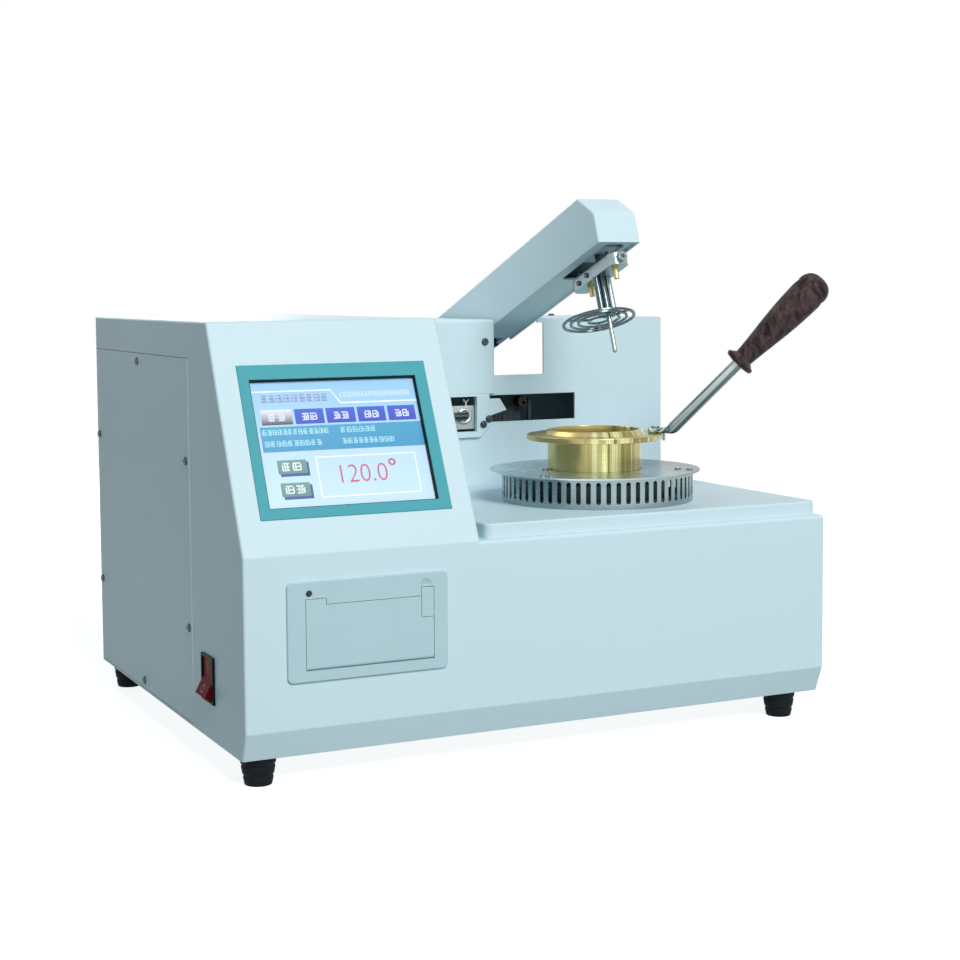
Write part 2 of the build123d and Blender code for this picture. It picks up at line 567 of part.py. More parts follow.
pieces["vented_drum"] = make_drum()
pieces["heater_top_plate"] = make_top_plate()
pieces["top_plate_pins"] = Compound([
    rod_z(plate_top - top_plate_thickness, plate_top, x, y, screw_radius)
    + rod_z(plate_top, plate_top + pin_height, x, y, 1.5 * screw_radius)
    for x, y in pin_points])
pieces["hot_plate"] = rod_z(hot_plate_low, seat_z - seat_gap, cup_x, cup_y, hot_plate_radius)
pieces["insulator_disc"] = rod_z(insulator_low, hot_plate_low, cup_x, cup_y, insulator_radius)
pieces["heater_stays"] = Compound([rod_z(fold_z, insulator_low, x, y, stay_radius) for x, y in stay_points()])

# ---------------------------------------------------------------- cup and its handle
handle_place = Pos(cup_x, cup_y, flange_top) * Rot(0, 0, handle_bearing)


def make_cup():
    flange_low = flange_top - flange_thickness
    bowl = turned([(0, seat_z), (cup_outer_radius, seat_z), (cup_outer_radius, flange_low),
                   (flange_radius, flange_low), (flange_radius, flange_top),
                   (cup_outer_radius + rim_flare, flange_top), (cup_outer_radius, rim_z - 0.3),
                   (cup_outer_radius - 0.6, rim_z), (cup_inner_radius, rim_z),
                   (cup_inner_radius, seat_z + cup_base), (0, seat_z + cup_base)], (cup_x, cup_y))
    return bowl - handle_place * rod_z(-10, 10, eye_reach, 0, rivet_radius + seat_gap)


def make_handle_rod():
    middle = eye_thickness / 2
    path = FilletPolyline((eye_reach + flat_length, 0, middle), (handle_bend_reach, 0, middle),
                          (handle_end_reach, 0, handle_end_height), radius=handle_bend_radius)
    bent = Wire(path.edges()[:2])
    flat = Plane(origin=bent @ 0, x_dir=(0, 1, 0), z_dir=bent % 0) * Ellipse(eye_radius, middle)
    round_end = Plane(origin=bent @ 1, x_dir=(0, 1, 0), z_dir=bent % 1) * Ellipse(handle_rod_radius,
                                                                               handle_rod_radius)
    bar = sweep([flat, round_end], path=bent, multisection=True)
    end, way = Vector(handle_end_reach, 0, handle_end_height), path % 1
    start = bent @ 1
    length = (end - start).length + tang_length
    bar += Location(Plane(origin=start, z_dir=way)) * Pos(0, 0, length / 2) * Cylinder(handle_rod_radius, length)
    eye = rod_z(0, eye_thickness, eye_reach, 0, eye_radius)
    eye += block(eye_reach, eye_reach + flat_length + 1, -eye_radius * 0.6, eye_radius * 0.6, 0, eye_thickness)
    bar += eye
    bar -= rod_z(-1, 9, eye_reach, 0, rivet_radius + seat_gap)
    bar += rod_z(-peg_length, middle, flange_radius + move_gap + peg_radius, 0, peg_radius)
    return handle_place * bar, end, way


def make_grip(end, way):
    neck = collar_thickness + 3
    shape = turned([(0, 0), (5.6, 0), (collar_radius - 1, 1.2), (collar_radius, 2.4),
                    (collar_radius, collar_thickness), (grip_small_radius, neck),
                    (grip_large_radius, grip_length - 11), (0.92 * grip_large_radius, grip_length - 5),
                    (0.6 * grip_large_radius, grip_length - 1), (0, grip_length)])
    shape -= rod_z(-1, tang_length + 0.1, 0, 0, handle_rod_radius + seat_gap)
    return handle_place * Location(Plane(origin=end, z_dir=way)) * shape


pieces["test_cup"] = make_cup()
pieces["handle_rod"], grip_start, grip_way = make_handle_rod()
pieces["handle_grip"] = make_grip(grip_start, grip_way)
pieces["handle_rivet"] = handle_place * (
    rod_z(-flange_thickness - rivet_head_height, eye_thickness, eye_reach, 0, rivet_radius)
    + rod_z(-flange_thickness - rivet_head_height, -flange_thickness, eye_reach, 0, rivet_head_radius)
    + rod_z(eye_thickness, eye_thickness + rivet_head_height, eye_reach, 0, rivet_head_radius))

# ---------------------------------------------------------------- arm, drawn level and then raised
nose_top = arm_underside + arm_front_height
nose_run = arm_height - arm_front_height
arm_outline = [(arm_nose, arm_underside), (arm_nose, nose_top), (arm_nose + nose_run, arm_top),
               (arm_tail, arm_top), (arm_tail, arm_underside)]


def make_arm_cover():
    cover = prism_x(arm_outline, arm_left, arm_right)
    bends = [e for e in cover.edges().filter_by(Axis.X) if e.center().Z > arm_underside + 1]
    cover = fillet(bends, arm_bend_radius)
    cover = fillet([e for e in cover.edges() if e.center().Z > arm_underside + 1
                    and min(abs(e.center().X - arm_left), abs(e.center().X - arm_right)) < 0.01], sheet)
    cover -= prism_x(shrink(arm_outline, [arm_sheet, arm_sheet + 1, arm_sheet, arm_sheet, -5]),
                     arm_left + arm_sheet, arm_right - arm_sheet)
    cover -= block(arm_left - 1, arm_right + 1, arm_open, arm_tail + 1, arm_underside - 1, arm_underside + arm_trim)
    return cover - rod_x(arm_left - 1, arm_left + 5, pivot_y, pivot_z, arm_shaft_radius + seat_gap)


def make_arm_plate():
    left, right = arm_left + arm_sheet, arm_right - arm_sheet
    low, ear = arm_underside + arm_recess, 2 * arm_sheet
    plate = block(left, right, arm_nose + arm_sheet, arm_open, low, arm_plate_top)
    plate -= rounded(block(bar_left, bar_right + 1, slot_front_y, slot_rear_y, low - 1, arm_plate_top + 1),
                     Axis.Z, 4)
    plate -= block(right - slit_width, right + 1, slit_front_y, slit_rear_y, low - 1, arm_plate_top + 1)
    for x in (left, right - ear):
        # rail along the open part and the ear round the shaft
        plate += block(x, x + ear, arm_open - rail_height, pivot_y, arm_underside + arm_trim,
                       arm_underside + arm_trim + rail_height)
        plate += rod_x(x, x + ear, pivot_y, pivot_z, 2.6 * arm_shaft_radius)
        plate -= rod_x(x - 1, x + ear + 1, pivot_y, pivot_z, arm_shaft_radius + seat_gap)
    plate += rod_x(left, right, pivot_y - stop_back, arm_underside + stop_rise, stop_radius)
    # block over the slot that carries the tubes of the head
    plate += block(bar_left - 7, bar_right + 5, head_y - carrier_half, head_y + carrier_half, arm_plate_top,
                   carrier_top)
    plate -= rod_z(arm_plate_top - 1, carrier_top + 1, cup_x, head_y, post_radius + seat_gap)
    return plate - rod_z(arm_plate_top - 1, carrier_top + 1, flame_x, head_y, flame_radius + run_gap)


def make_clamp_bar():
    low, high = bar_level - bar_thickness / 2, bar_level + bar_thickness / 2
    bar = rounded(block(bar_left, bar_right, bar_front, bar_rear, low, high), Axis.Z, 5.5)
    bar -= rod_z(low - 1, high + 1, cup_x, head_y, post_radius + seat_gap)
    bar -= rod_z(low - 1, high + 1, flame_x, head_y, flame_radius + run_gap)
    bar -= rod_y(bar_front - 1, bar_front + 14, cup_x + 1, bar_level, 2 + seat_gap)
    return bar - [rod_z(low - 1, low + nipple_stud, cup_x + 1, head_y + s * nipple_spread, 1.6 + seat_gap)
                  for s in (1, -1)]


def make_clamp_screw():
    head = rod_y(bar_front - 4, bar_front, cup_x + 1, bar_level, 3.5)
    recess = Pos(cup_x + 1, bar_front - 4, bar_level) * Rot(90, 0, 0) * extrude(
        RegularPolygon(1.7, 6), 2.4, both=True)
    return head - recess + rod_y(bar_front, bar_front + 13, cup_x + 1, bar_level, 2)


def make_nipples():
    low = bar_level - bar_thickness / 2
    made = []
    for s in (1, -1):
        x, y = cup_x + 1, head_y + s * nipple_spread
        hex_low = low - nipple_hex_height
        made.append(rod_z(low, low + nipple_stud, x, y, 1.6)
                    + Pos(x, y, low - nipple_hex_height / 2) * extrude(RegularPolygon(nipple_hex_radius, 6),
                                                                       nipple_hex_height / 2, both=True)
                    + rod_z(hex_low - nipple_length, hex_low, x, y, nipple_radius))
    return made


def make_post():
    low = ring_level + ring_thickness
    post = rod_z(low, carrier_top, cup_x, head_y, post_radius)
    post -= rod_z(ring_level - 1, carrier_top + 1, cup_x, head_y, probe_radius + seat_gap)
    return [post, rod_z(low, bar_level - bar_thickness / 2, cup_x - tube_pitch, head_y, post_radius)]


def make_ring():
    low, high = ring_level, ring_level + ring_thickness
    hub = rod_z(low, high, 0, 0, 8.5) - rod_z(low - 1, high + 1, 0, 0, 6.2)
    for outer, inner in ((ring_radius, ring_radius - 2.2), (ring_radius - 5.5, ring_radius - 7.4),
                         (ring_radius - 11, ring_radius - 12.8)):
        hub += rod_z(low, high, 0, 0, outer) - rod_z(low - 1, high + 1, 0, 0, inner)
    for k in range(3):
        hub += Rot(0, 0, 60 + 120 * k) * block(7, ring_radius - 1, -1.1, 1.1, low, high)
    foot_left_x, foot_half = -tube_pitch - post_radius - 0.7, post_radius + 0.9
    hub += rounded(block(foot_left_x, foot_half, head_y - cup_y - foot_half, head_y - cup_y + foot_half, low, high),
                   Axis.Z, 0.9 * foot_half)
    ring = cup_place * hub
    return ring - rod_z(low - 1, high + 1, cup_x, head_y, probe_radius + seat_gap)


def make_probe():
    tip = probe_tip + probe_radius
    return rod_z(tip, carrier_top + 6, cup_x, head_y, probe_radius) + Pos(cup_x, head_y, tip) * Sphere(
        probe_radius)


def make_flame_tube():
    turn = Pos(flame_x, head_y, 0) * Rot(0, 0, flame_park)
    low = flame_level - post_radius
    tube = rod_z(low, carrier_top + 2, 0, 0, flame_radius)
    tube += rod_z(low, bar_level - bar_thickness / 2 - move_gap, 0, 0, post_radius)
    tube += rod_x(0, flame_reach, 0, flame_level, flame_tip_radius)
    tube += rod_z(carrier_top, carrier_top + 2, 0, 0, 3.0)
    return turn * (tube - rod_x(flame_reach - 5, flame_reach + 1, 0, flame_level, 0.5))


pieces["arm_cover"] = raised * make_arm_cover()
pieces["arm_plate"] = raised * make_arm_plate()
pieces["head_clamp_bar"] = raised * make_clamp_bar()
pieces["clamp_screw"] = raised * make_clamp_screw()
pieces["gas_nipples"] = raised * Compound(make_nipples())
pieces["sensor_post"] = raised * Compound(make_post())
pieces["detector_ring"] = raised * make_ring()
pieces["temperature_probe"] = raised * make_probe()
pieces["flame_tube"] = raised * make_flame_tube()

# ---------------------------------------------------------------- display
bezel_mid = (bezel_x + bezel_width / 2, bezel_slant + bezel_height / 2)
screen_mid = (screen_x + screen_width / 2, screen_slant + screen_height / 2)
gasket_width, gasket_height = screen_width + 2 * gasket_wall, screen_height + 2 * gasket_wall


def make_bezel():
    front = Pos(*bezel_mid, bezel_proud / 2) * Box(bezel_width, bezel_height, bezel_proud)
    front = fillet(front.faces().sort_by(Axis.Z)[-1].edges(), 0.4)
    back = Pos(*bezel_mid, -screen_recess) * Box(bezel_width - 2 * bezel_lip, bezel_height - 2 * bezel_lip,
                                                      2 * screen_recess)
    hole = Pos(*screen_mid, 0) * Box(gasket_width, gasket_height, 40)
    return panel * (front + back - hole)


def make_gasket():
    outer = Pos(*screen_mid, -screen_recess / 2) * Box(gasket_width, gasket_height, screen_recess)
    return panel * (outer - Pos(*screen_mid, 0) * Box(screen_width, screen_height, 40))


screen_back = 2 * screen_recess
pieces["display_bezel"] = make_bezel()
pieces["display_gasket"] = make_gasket()
pieces["display_panel"] = panel * Pos(*screen_mid, -(screen_recess + screen_back) / 2) * Box(
    gasket_width, gasket_height, screen_back - screen_recess)
pieces["display_board"] = panel * (
    Pos(*bezel_mid, -screen_back - board_thickness / 2) * Box(bezel_width - bezel_lip, bezel_height - bezel_lip,
                                                              board_thickness)
    + Pos(bezel_mid[0] - board_chip_width / 2, bezel_mid[1],
          -screen_back - board_thickness - board_chip_thickness / 2) * Box(
              board_chip_width, board_chip_height, board_chip_thickness)
    + Pos(bezel_mid[0] + bezel_width / 4, bezel_mid[1] + bezel_height / 10,
          -screen_back - board_thickness - small_chip_thickness / 2) * Box(
              small_chip, small_chip, small_chip_thickness))

# ---------------------------------------------------------------- printer
lever_travel = 2.0
pin_radius = 0.8
notch_sphere, notch_offset = 7.7, 6.4     # finger notch over the lever, a shallow hollow
lamp_radius = 2.1


def make_printer_bezel():
    high = printer_z + printer_height
    front = rounded(block(printer_x, printer_x + printer_width, -printer_proud, 0, printer_z, high), Axis.Y,
                    printer_corner)
    front = fillet(front.faces().sort_by(Axis.Y)[0].edges(), 0.8)
    holder = block(bin_left - bin_wall, bin_right + bin_wall, 0, bin_depth, bin_low - bin_wall, bin_high + bin_wall)
    shell = front + holder - block(bin_left, bin_right, door_axis_y, bin_depth - bin_wall, bin_low, bin_high)
    shell -= block(door_left - move_gap, door_right + move_gap, -5, door_axis_y + 1, door_low - move_gap,
                   door_high + move_gap)
    shell -= block(door_left - move_gap, door_right + move_gap, -5, door_axis_y + door_thickness + move_gap,
                   door_low - move_gap, door_axis_z + door_thickness)
    shell -= block(lever_left - move_gap, lever_right + move_gap, -5, door_axis_y + 1, lever_low,
                   lever_high + move_gap)
    shell += block(exit_left + move_gap, lever_left - move_gap, -printer_proud, door_axis_y,
                   exit_level + move_gap, door_high + 1)
    shell -= Pos((lever_left + lever_right) / 2 - 1, -printer_proud - notch_offset, lever_high + 1.4) * Sphere(
        notch_sphere)
    shell -= rod_y(-printer_proud - 1, -printer_proud + 1.2, door_left + 2.1, door_high + 3.7, lamp_radius)
    for x0, x1 in ((bin_left - 1, door_left + 4), (door_right - 4, bin_right + 1)):
        shell += rod_x(x0, x1, door_axis_y, door_axis_z, pin_radius)
        shell += block(x0 if x0 < door_left else door_right + move_gap,
                       door_left - move_gap if x0 < door_left else x1, door_axis_y - 1.2, door_axis_y + 1.2,
                       door_axis_z - 1.2, door_axis_z + 1.2)
    latch = block(lever_left + 1, bin_right, bin_depth / 4 + lever_travel + move_gap, bin_depth / 4 + 8,
                  lever_low + 4, lever_high - 4)
    return shell + latch


def make_door():
    outline = [(door_left, door_axis_z), (door_right, door_axis_z), (door_right, lever_low - move_gap),
               (lever_left - move_gap, lever_low - move_gap), (lever_left - move_gap, exit_level),
               (exit_left, exit_level), (exit_left, door_high), (door_left, door_high)]
    door = prism_y(outline, -printer_proud, door_axis_y)
    door += rod_x(door_left, door_right, door_axis_y, door_axis_z, door_thickness)
    for x in (exit_left - 3.0, exit_right + 0.5):
        door += block(x, x + 2.5, door_axis_y - 0.5, platen_y, platen_z - 3, platen_z + 3)
        door += rod_x(x, x + 2.5, platen_y, platen_z, 3)
        door -= rod_x(x - 0.1, x + 3, platen_y, platen_z, 1.5 + run_gap)
    for x0, x1 in ((door_left - 1, door_left + 4.3), (door_right - 4.3, door_right + 1)):
        door -= rod_x(x0, x1, door_axis_y, door_axis_z, pin_radius + run_gap)
    return door


def make_lever():
    tab = block(lever_left, lever_right, -printer_proud, door_axis_y, lever_low, lever_high)
    return tab + block(lever_left + 2, lever_right - 2, door_axis_y, bin_depth / 4, lever_low + 6, lever_high - 6)


platen_left, platen_right = exit_left + 0.3, exit_right - 0.3
pieces["printer_bezel"] = make_printer_bezel()
pieces["printer_door"] = make_door()
pieces["printer_lever"] = make_lever()
pieces["platen_roller"] = rod_x(platen_left, platen_right, platen_y, platen_z, platen_radius) + rod_x(
    exit_left - 2.9, exit_right + 2.9, platen_y, platen_z, 1.5)
pieces["print_head"] = block(exit_left + 2, exit_right - 2, 8, 20, exit_level, bin_high)
pieces["paper_roll"] = rod_x(roll_x - roll_width / 2, roll_x + roll_width / 2, roll_y, roll_z, roll_radius) - rod_x(
    0, 200, roll_y, roll_z, roll_core)

# ---------------------------------------------------------------- power switch on the left wall
def make_switch_bezel():
    y0, y1 = switch_y - switch_width / 2, switch_y + switch_width / 2
    z0, z1 = switch_z - switch_length / 2, switch_z + switch_length / 2
    flange = fillet(block(-switch_proud, 0, y0, y1, z0, z1).faces().sort_by(Axis.X)[0].edges(), 0.7)
    body = block(0, 24, y0 + 1.6, y1 - 1.6, z0 + 1.1, z1 - 1.1)
    hollow = block(-5, 17, switch_y - rocker_width / 2 - move_gap, switch_y + rocker_width / 2 + move_gap,
                   switch_z - rocker_radius - move_gap, switch_z + rocker_radius + move_gap)
    lugs = [block(24, 29, switch_y - 3, switch_y + 3, switch_z + s * 8 - 0.4, switch_z + s * 8 + 0.4)
            for s in (-1, 1)]
    axle = rod_y(y0 + 2, y1 - 2, rocker_pivot, switch_z, 1.5)
    return flange + body - hollow + lugs + axle


def make_rocker():
    half = rocker_radius
    rise = half * tan(radians(rocker_tilt))
    face = 3.2              # outer face over the axle
    outline = [(rocker_pivot - face - rise, switch_z + half), (rocker_pivot - face, switch_z),
               (rocker_pivot - face - rise, switch_z - half), (rocker_pivot + 3, switch_z - half),
               (rocker_pivot + 6, switch_z), (rocker_pivot + 3, switch_z + half)]
    rocker = prism_y(outline, switch_y - rocker_width / 2, switch_y + rocker_width / 2)
    rocker &= rod_y(switch_y - 40, switch_y + 40, rocker_pivot, switch_z, rocker_radius)
    rocker -= rod_y(switch_y - 40, switch_y + 40, rocker_pivot, switch_z, 1.5 + run_gap)
    centre = Pos(rocker_pivot, 0, switch_z)
    return centre * Rot(0, rocker_tilt, 0) * Pos(-rocker_pivot, 0, -switch_z) * rocker


pieces["switch_bezel"] = make_switch_bezel()
pieces["switch_rocker"] = make_rocker()


# ---------------------------------------------------------------- rear fittings and electronics
def make_fan_frame():
    low, high = shell_back - fan_depth, shell_back
    frame = rounded(block(fan_x - fan_size / 2, fan_x + fan_size / 2, low, high, fan_z - fan_size / 2,
                          fan_z + fan_size / 2), Axis.Y, 4)
    frame -= rod_y(low - 1, high + 1, fan_x, fan_z, fan_bore)
    for k in range(4):
        frame += Pos(fan_x, 0, fan_z) * Rot(0, 45 + 90 * k, 0) * block(10, fan_bore + 1, low, low + 2.5, -2, 2)
    frame += rod_y(low, low + 2.5, fan_x, fan_z, fan_hub_radius - 0.5)
    return frame - rod_y(low - 1, low + 5, fan_x, fan_z, 2 + run_gap)


def make_fan_rotor():
    low, high = shell_back - fan_depth + 2.5 + move_gap, shell_back - 2
    rotor = rod_y(low, high, 0, 0, fan_hub_radius)
    wing = Pos(fan_wing_reach, (low + high) / 2, 0) * Rot(35, 0, 0) * Box(fan_wing_width, fan_wing_depth,
                                                                          fan_wing_thickness)
    for k in range(fan_blades):
        rotor += Rot(0, 360 / fan_blades * k, 0) * wing
    rotor &= rod_y(low, high, 0, 0, fan_rotor_radius)
    rotor += rod_y(low - 4, low, 0, 0, 2)
    return Pos(fan_x, 0, fan_z) * rotor


def make_power_inlet():
    x0, x1 = inlet_x - inlet_width / 2, inlet_x + inlet_width / 2
    z0, z1 = inlet_z - inlet_height / 2, inlet_z + inlet_height / 2
    shape = block(x0 - inlet_frame, x1 + inlet_frame, case_depth, case_depth + inlet_frame_height,
                  z0 - inlet_frame, z1 + inlet_frame)
    shape += block(x0 + seat_gap, x1 - seat_gap, case_depth - inlet_depth, case_depth, z0 + seat_gap, z1 - seat_gap)
    shape -= block(x0 + inlet_wall, x1 - inlet_wall, case_depth - 0.75 * inlet_depth, case_depth + 3,
                   z0 + inlet_wall, z1 - inlet_wall)
    for dx, dz in ((-7, -1.5), (0, 1.5), (7, -1.5)):
        shape += block(inlet_x + dx - 1, inlet_x + dx + 1, case_depth - 0.75 * inlet_depth,
                       case_depth - 0.2 * inlet_depth, inlet_z + dz - 2.5, inlet_z + dz + 2.5)
    return shape


def make_gas_inlet():
    nut = case_depth + gas_nut_length
    shape = Pos(gas_x, (case_depth + nut) / 2, gas_z) * Rot(90, 0, 0) * extrude(
        RegularPolygon(gas_nut_radius, 6), gas_nut_length / 2, both=True)
    shape += rod_y(shell_back - 2, case_depth, gas_x, gas_z, gas_radius + 1 - seat_gap)
    shape += rod_y(nut, nut + gas_length, gas_x, gas_z, gas_radius)
    return shape - rod_y(shell_back - 3, nut + gas_length + 1, gas_x, gas_z, gas_bore)


valve_half, valve_depth, valve_height = 14.0, 26.0, 24.0
solenoid_radius, solenoid_height, valve_foot = 12.0, 32.0, 5.0


def make_gas_valve():
    back = shell_back - 2
    low, high = gas_z - valve_height / 2, gas_z + valve_height / 2
    shape = block(gas_x - valve_half, gas_x + valve_half, back - valve_depth, back, low, high)
    shape += rod_z(high, high + solenoid_height, gas_x, back - solenoid_radius - 2, solenoid_radius)
    shape += block(gas_x - valve_half, gas_x - valve_half + valve_foot, back, shell_back, low, high)
    shape += block(gas_x + valve_half - valve_foot, gas_x + valve_half, back, shell_back, low, high)
    return shape - rod_y(back - 20, back + 1, gas_x, gas_z, gas_bore)


control_board_left, control_board_front, control_board_width, control_board_depth = 20.0, 130.0, 110.0, 170.0
control_board_rise, control_board_thickness, pillar_inset, pillar_radius = 8.0, 1.6, 6.0, 3.0
# parts on the board: place from its left front corner, size, height
board_parts = ((14, 20, 36, 40, 24), (60, 90, 38, 6, 34), (64, 20, 22, 22, 2.4), (10, 120, 30, 12, 10))


def make_control_board():
    left, front = control_board_left, control_board_front
    right, back = left + control_board_width, front + control_board_depth
    low = base_z + sheet + control_board_rise
    top = low + control_board_thickness
    board = block(left, right, front, back, low, top)
    for x in (left + pillar_inset, right - pillar_inset):
        for y in (front + pillar_inset, back - pillar_inset):
            board += rod_z(base_z + sheet, low, x, y, pillar_radius)
    for x, y, width, depth, height in board_parts:
        board += block(left + x, left + x + width, front + y, front + y + depth, top, top + height)
    return board


supply_left, supply_front = tower_width + 12.4, 0.562 * case_depth
supply_width, supply_depth, supply_height = 100.0, 110.0, 42.0
supply_slots, supply_pitch, supply_slot_width, supply_margin = 9, 8.0, 3.0, 15.0


def make_power_supply():
    low = base_z + sheet
    back = supply_front + supply_depth
    unit = block(supply_left, supply_left + supply_width, supply_front, back, low, low + supply_height)
    slots = [supply_left + supply_margin + supply_pitch * k for k in range(supply_slots)]
    return unit - [block(x, x + supply_slot_width, supply_front + supply_margin, back - supply_margin,
                         low + supply_height - sheet, low + supply_height + 1) for x in slots]


# igniter seen through the backboard's slot
igniter_y = board_back + 20.0
plate_half_left, plate_half_right = 13.0, 15.0
post_x, light_post_x, strip_width = cup_x + 18.6, cup_x - 6.9, 2.4
burner_x, burner_z, burner_radius, burner_length = cup_x + 12.0, slot_high + fold_z - 6.5, 3.9, 9.0
burner_bore = 1.5


def make_igniter_mount():
    low, high = fold_z + sheet, fold_z + slot_high
    left, right = cup_x - plate_half_left, cup_x + plate_half_right
    mount = block(left - 6, post_x + strip_width, igniter_y - 14, igniter_y + 6, low, low + 2)
    mount += prism_y([(left, low), (right, low), (right, high - 2), (left - 6, high - 2), (left + 2, high - 15),
                      (left, high - 15)], igniter_y, igniter_y + sheet)
    mount += block(post_x - strip_width / 2, post_x + strip_width / 2, igniter_y - 9, igniter_y - 9 + strip_width,
                   low, high - 2.5)
    mount += block(light_post_x - strip_width / 2, light_post_x + strip_width / 2, igniter_y - 14,
                   igniter_y - 14 + strip_width, low, high - 16.5)
    return mount - rod_y(igniter_y - 1, igniter_y + 3, burner_x, burner_z, burner_bore + 0.5)


def make_pilot_burner():
    front = igniter_y - burner_length
    burner = rod_y(front, igniter_y, burner_x, burner_z, burner_radius)
    burner += rod_y(igniter_y, igniter_y + 4, burner_x, burner_z, burner_bore + 0.5 - seat_gap)
    return burner - rod_y(front - 1, front + 6, burner_x + 1.2, burner_z - 1.2, burner_bore)


pieces["fan_frame"] = make_fan_frame()
pieces["fan_rotor"] = make_fan_rotor()
pieces["power_inlet"] = make_power_inlet()
pieces["gas_inlet"] = make_gas_inlet()
pieces["gas_valve"] = make_gas_valve()
pieces["control_board"] = make_control_board()
pieces["power_supply"] = make_power_supply()
pieces["igniter_mount"] = make_igniter_mount()
pieces["pilot_burner"] = make_pilot_burner()

# ---------------------------------------------------------------- origin at the bottom centre, and export
furthest = [pieces[name].bounding_box() for name in (
    "switch_rocker", "main_shell", "printer_bezel", "handle_grip", "gas_inlet")]
centre_x = (min(b.min.X for b in furthest) + max(b.max.X for b in furthest)) / 2
centre_y = (min(b.min.Y for b in furthest) + max(b.max.Y for b in furthest)) / 2
os.makedirs("parts", exist_ok=True)
for name, shape in pieces.items():
    export_step(Pos(-centre_x, -centre_y, 0) * shape, "parts/" + name + ".step")
print(len(pieces), "pieces, origin moved by", round(centre_x, 4), round(centre_y, 4))
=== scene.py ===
import json
from math import cos, pi, radians, sin

import bmesh
import bpy
import numpy as np
from mathutils import Matrix, Vector


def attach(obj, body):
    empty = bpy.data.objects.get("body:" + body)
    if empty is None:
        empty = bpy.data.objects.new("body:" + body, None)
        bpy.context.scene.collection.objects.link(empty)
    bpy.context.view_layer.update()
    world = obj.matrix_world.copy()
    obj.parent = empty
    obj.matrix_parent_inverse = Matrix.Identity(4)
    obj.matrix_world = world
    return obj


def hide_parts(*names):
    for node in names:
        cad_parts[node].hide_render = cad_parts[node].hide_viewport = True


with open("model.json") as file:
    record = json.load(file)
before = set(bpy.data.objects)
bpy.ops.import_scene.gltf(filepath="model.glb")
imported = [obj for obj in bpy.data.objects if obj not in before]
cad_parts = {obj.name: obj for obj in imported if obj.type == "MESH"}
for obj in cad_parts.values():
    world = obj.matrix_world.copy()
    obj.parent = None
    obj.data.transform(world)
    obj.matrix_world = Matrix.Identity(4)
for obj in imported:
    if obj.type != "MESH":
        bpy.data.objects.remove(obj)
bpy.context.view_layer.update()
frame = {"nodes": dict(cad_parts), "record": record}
nodes = frame["nodes"]
scene = bpy.context.scene
scene.view_settings.view_transform = "Standard"
millimetre = 0.001


# finishes, all on object coordinates
def linear(red, green, blue):
    # sRGB bytes to scene colour: the usual 2.4 power with its straight foot
    srgb = np.array([red, green, blue]) / 255
    return (*np.where(srgb <= 0.04045, srgb / 12.92, ((srgb + 0.055) / 1.055) ** 2.4), 1.0)


def shaded(colour, red, green, blue):
    # a colour with each channel times its share
    return tuple(np.array(colour) * [red, green, blue, 1])


socketNames = {"colour": "Base Color", "metal": "Metallic", "roughness": "Roughness", "normal": "Normal",
               "specular": "Specular IOR Level", "glow": "Emission Color",
               "glowStrength": "Emission Strength"}


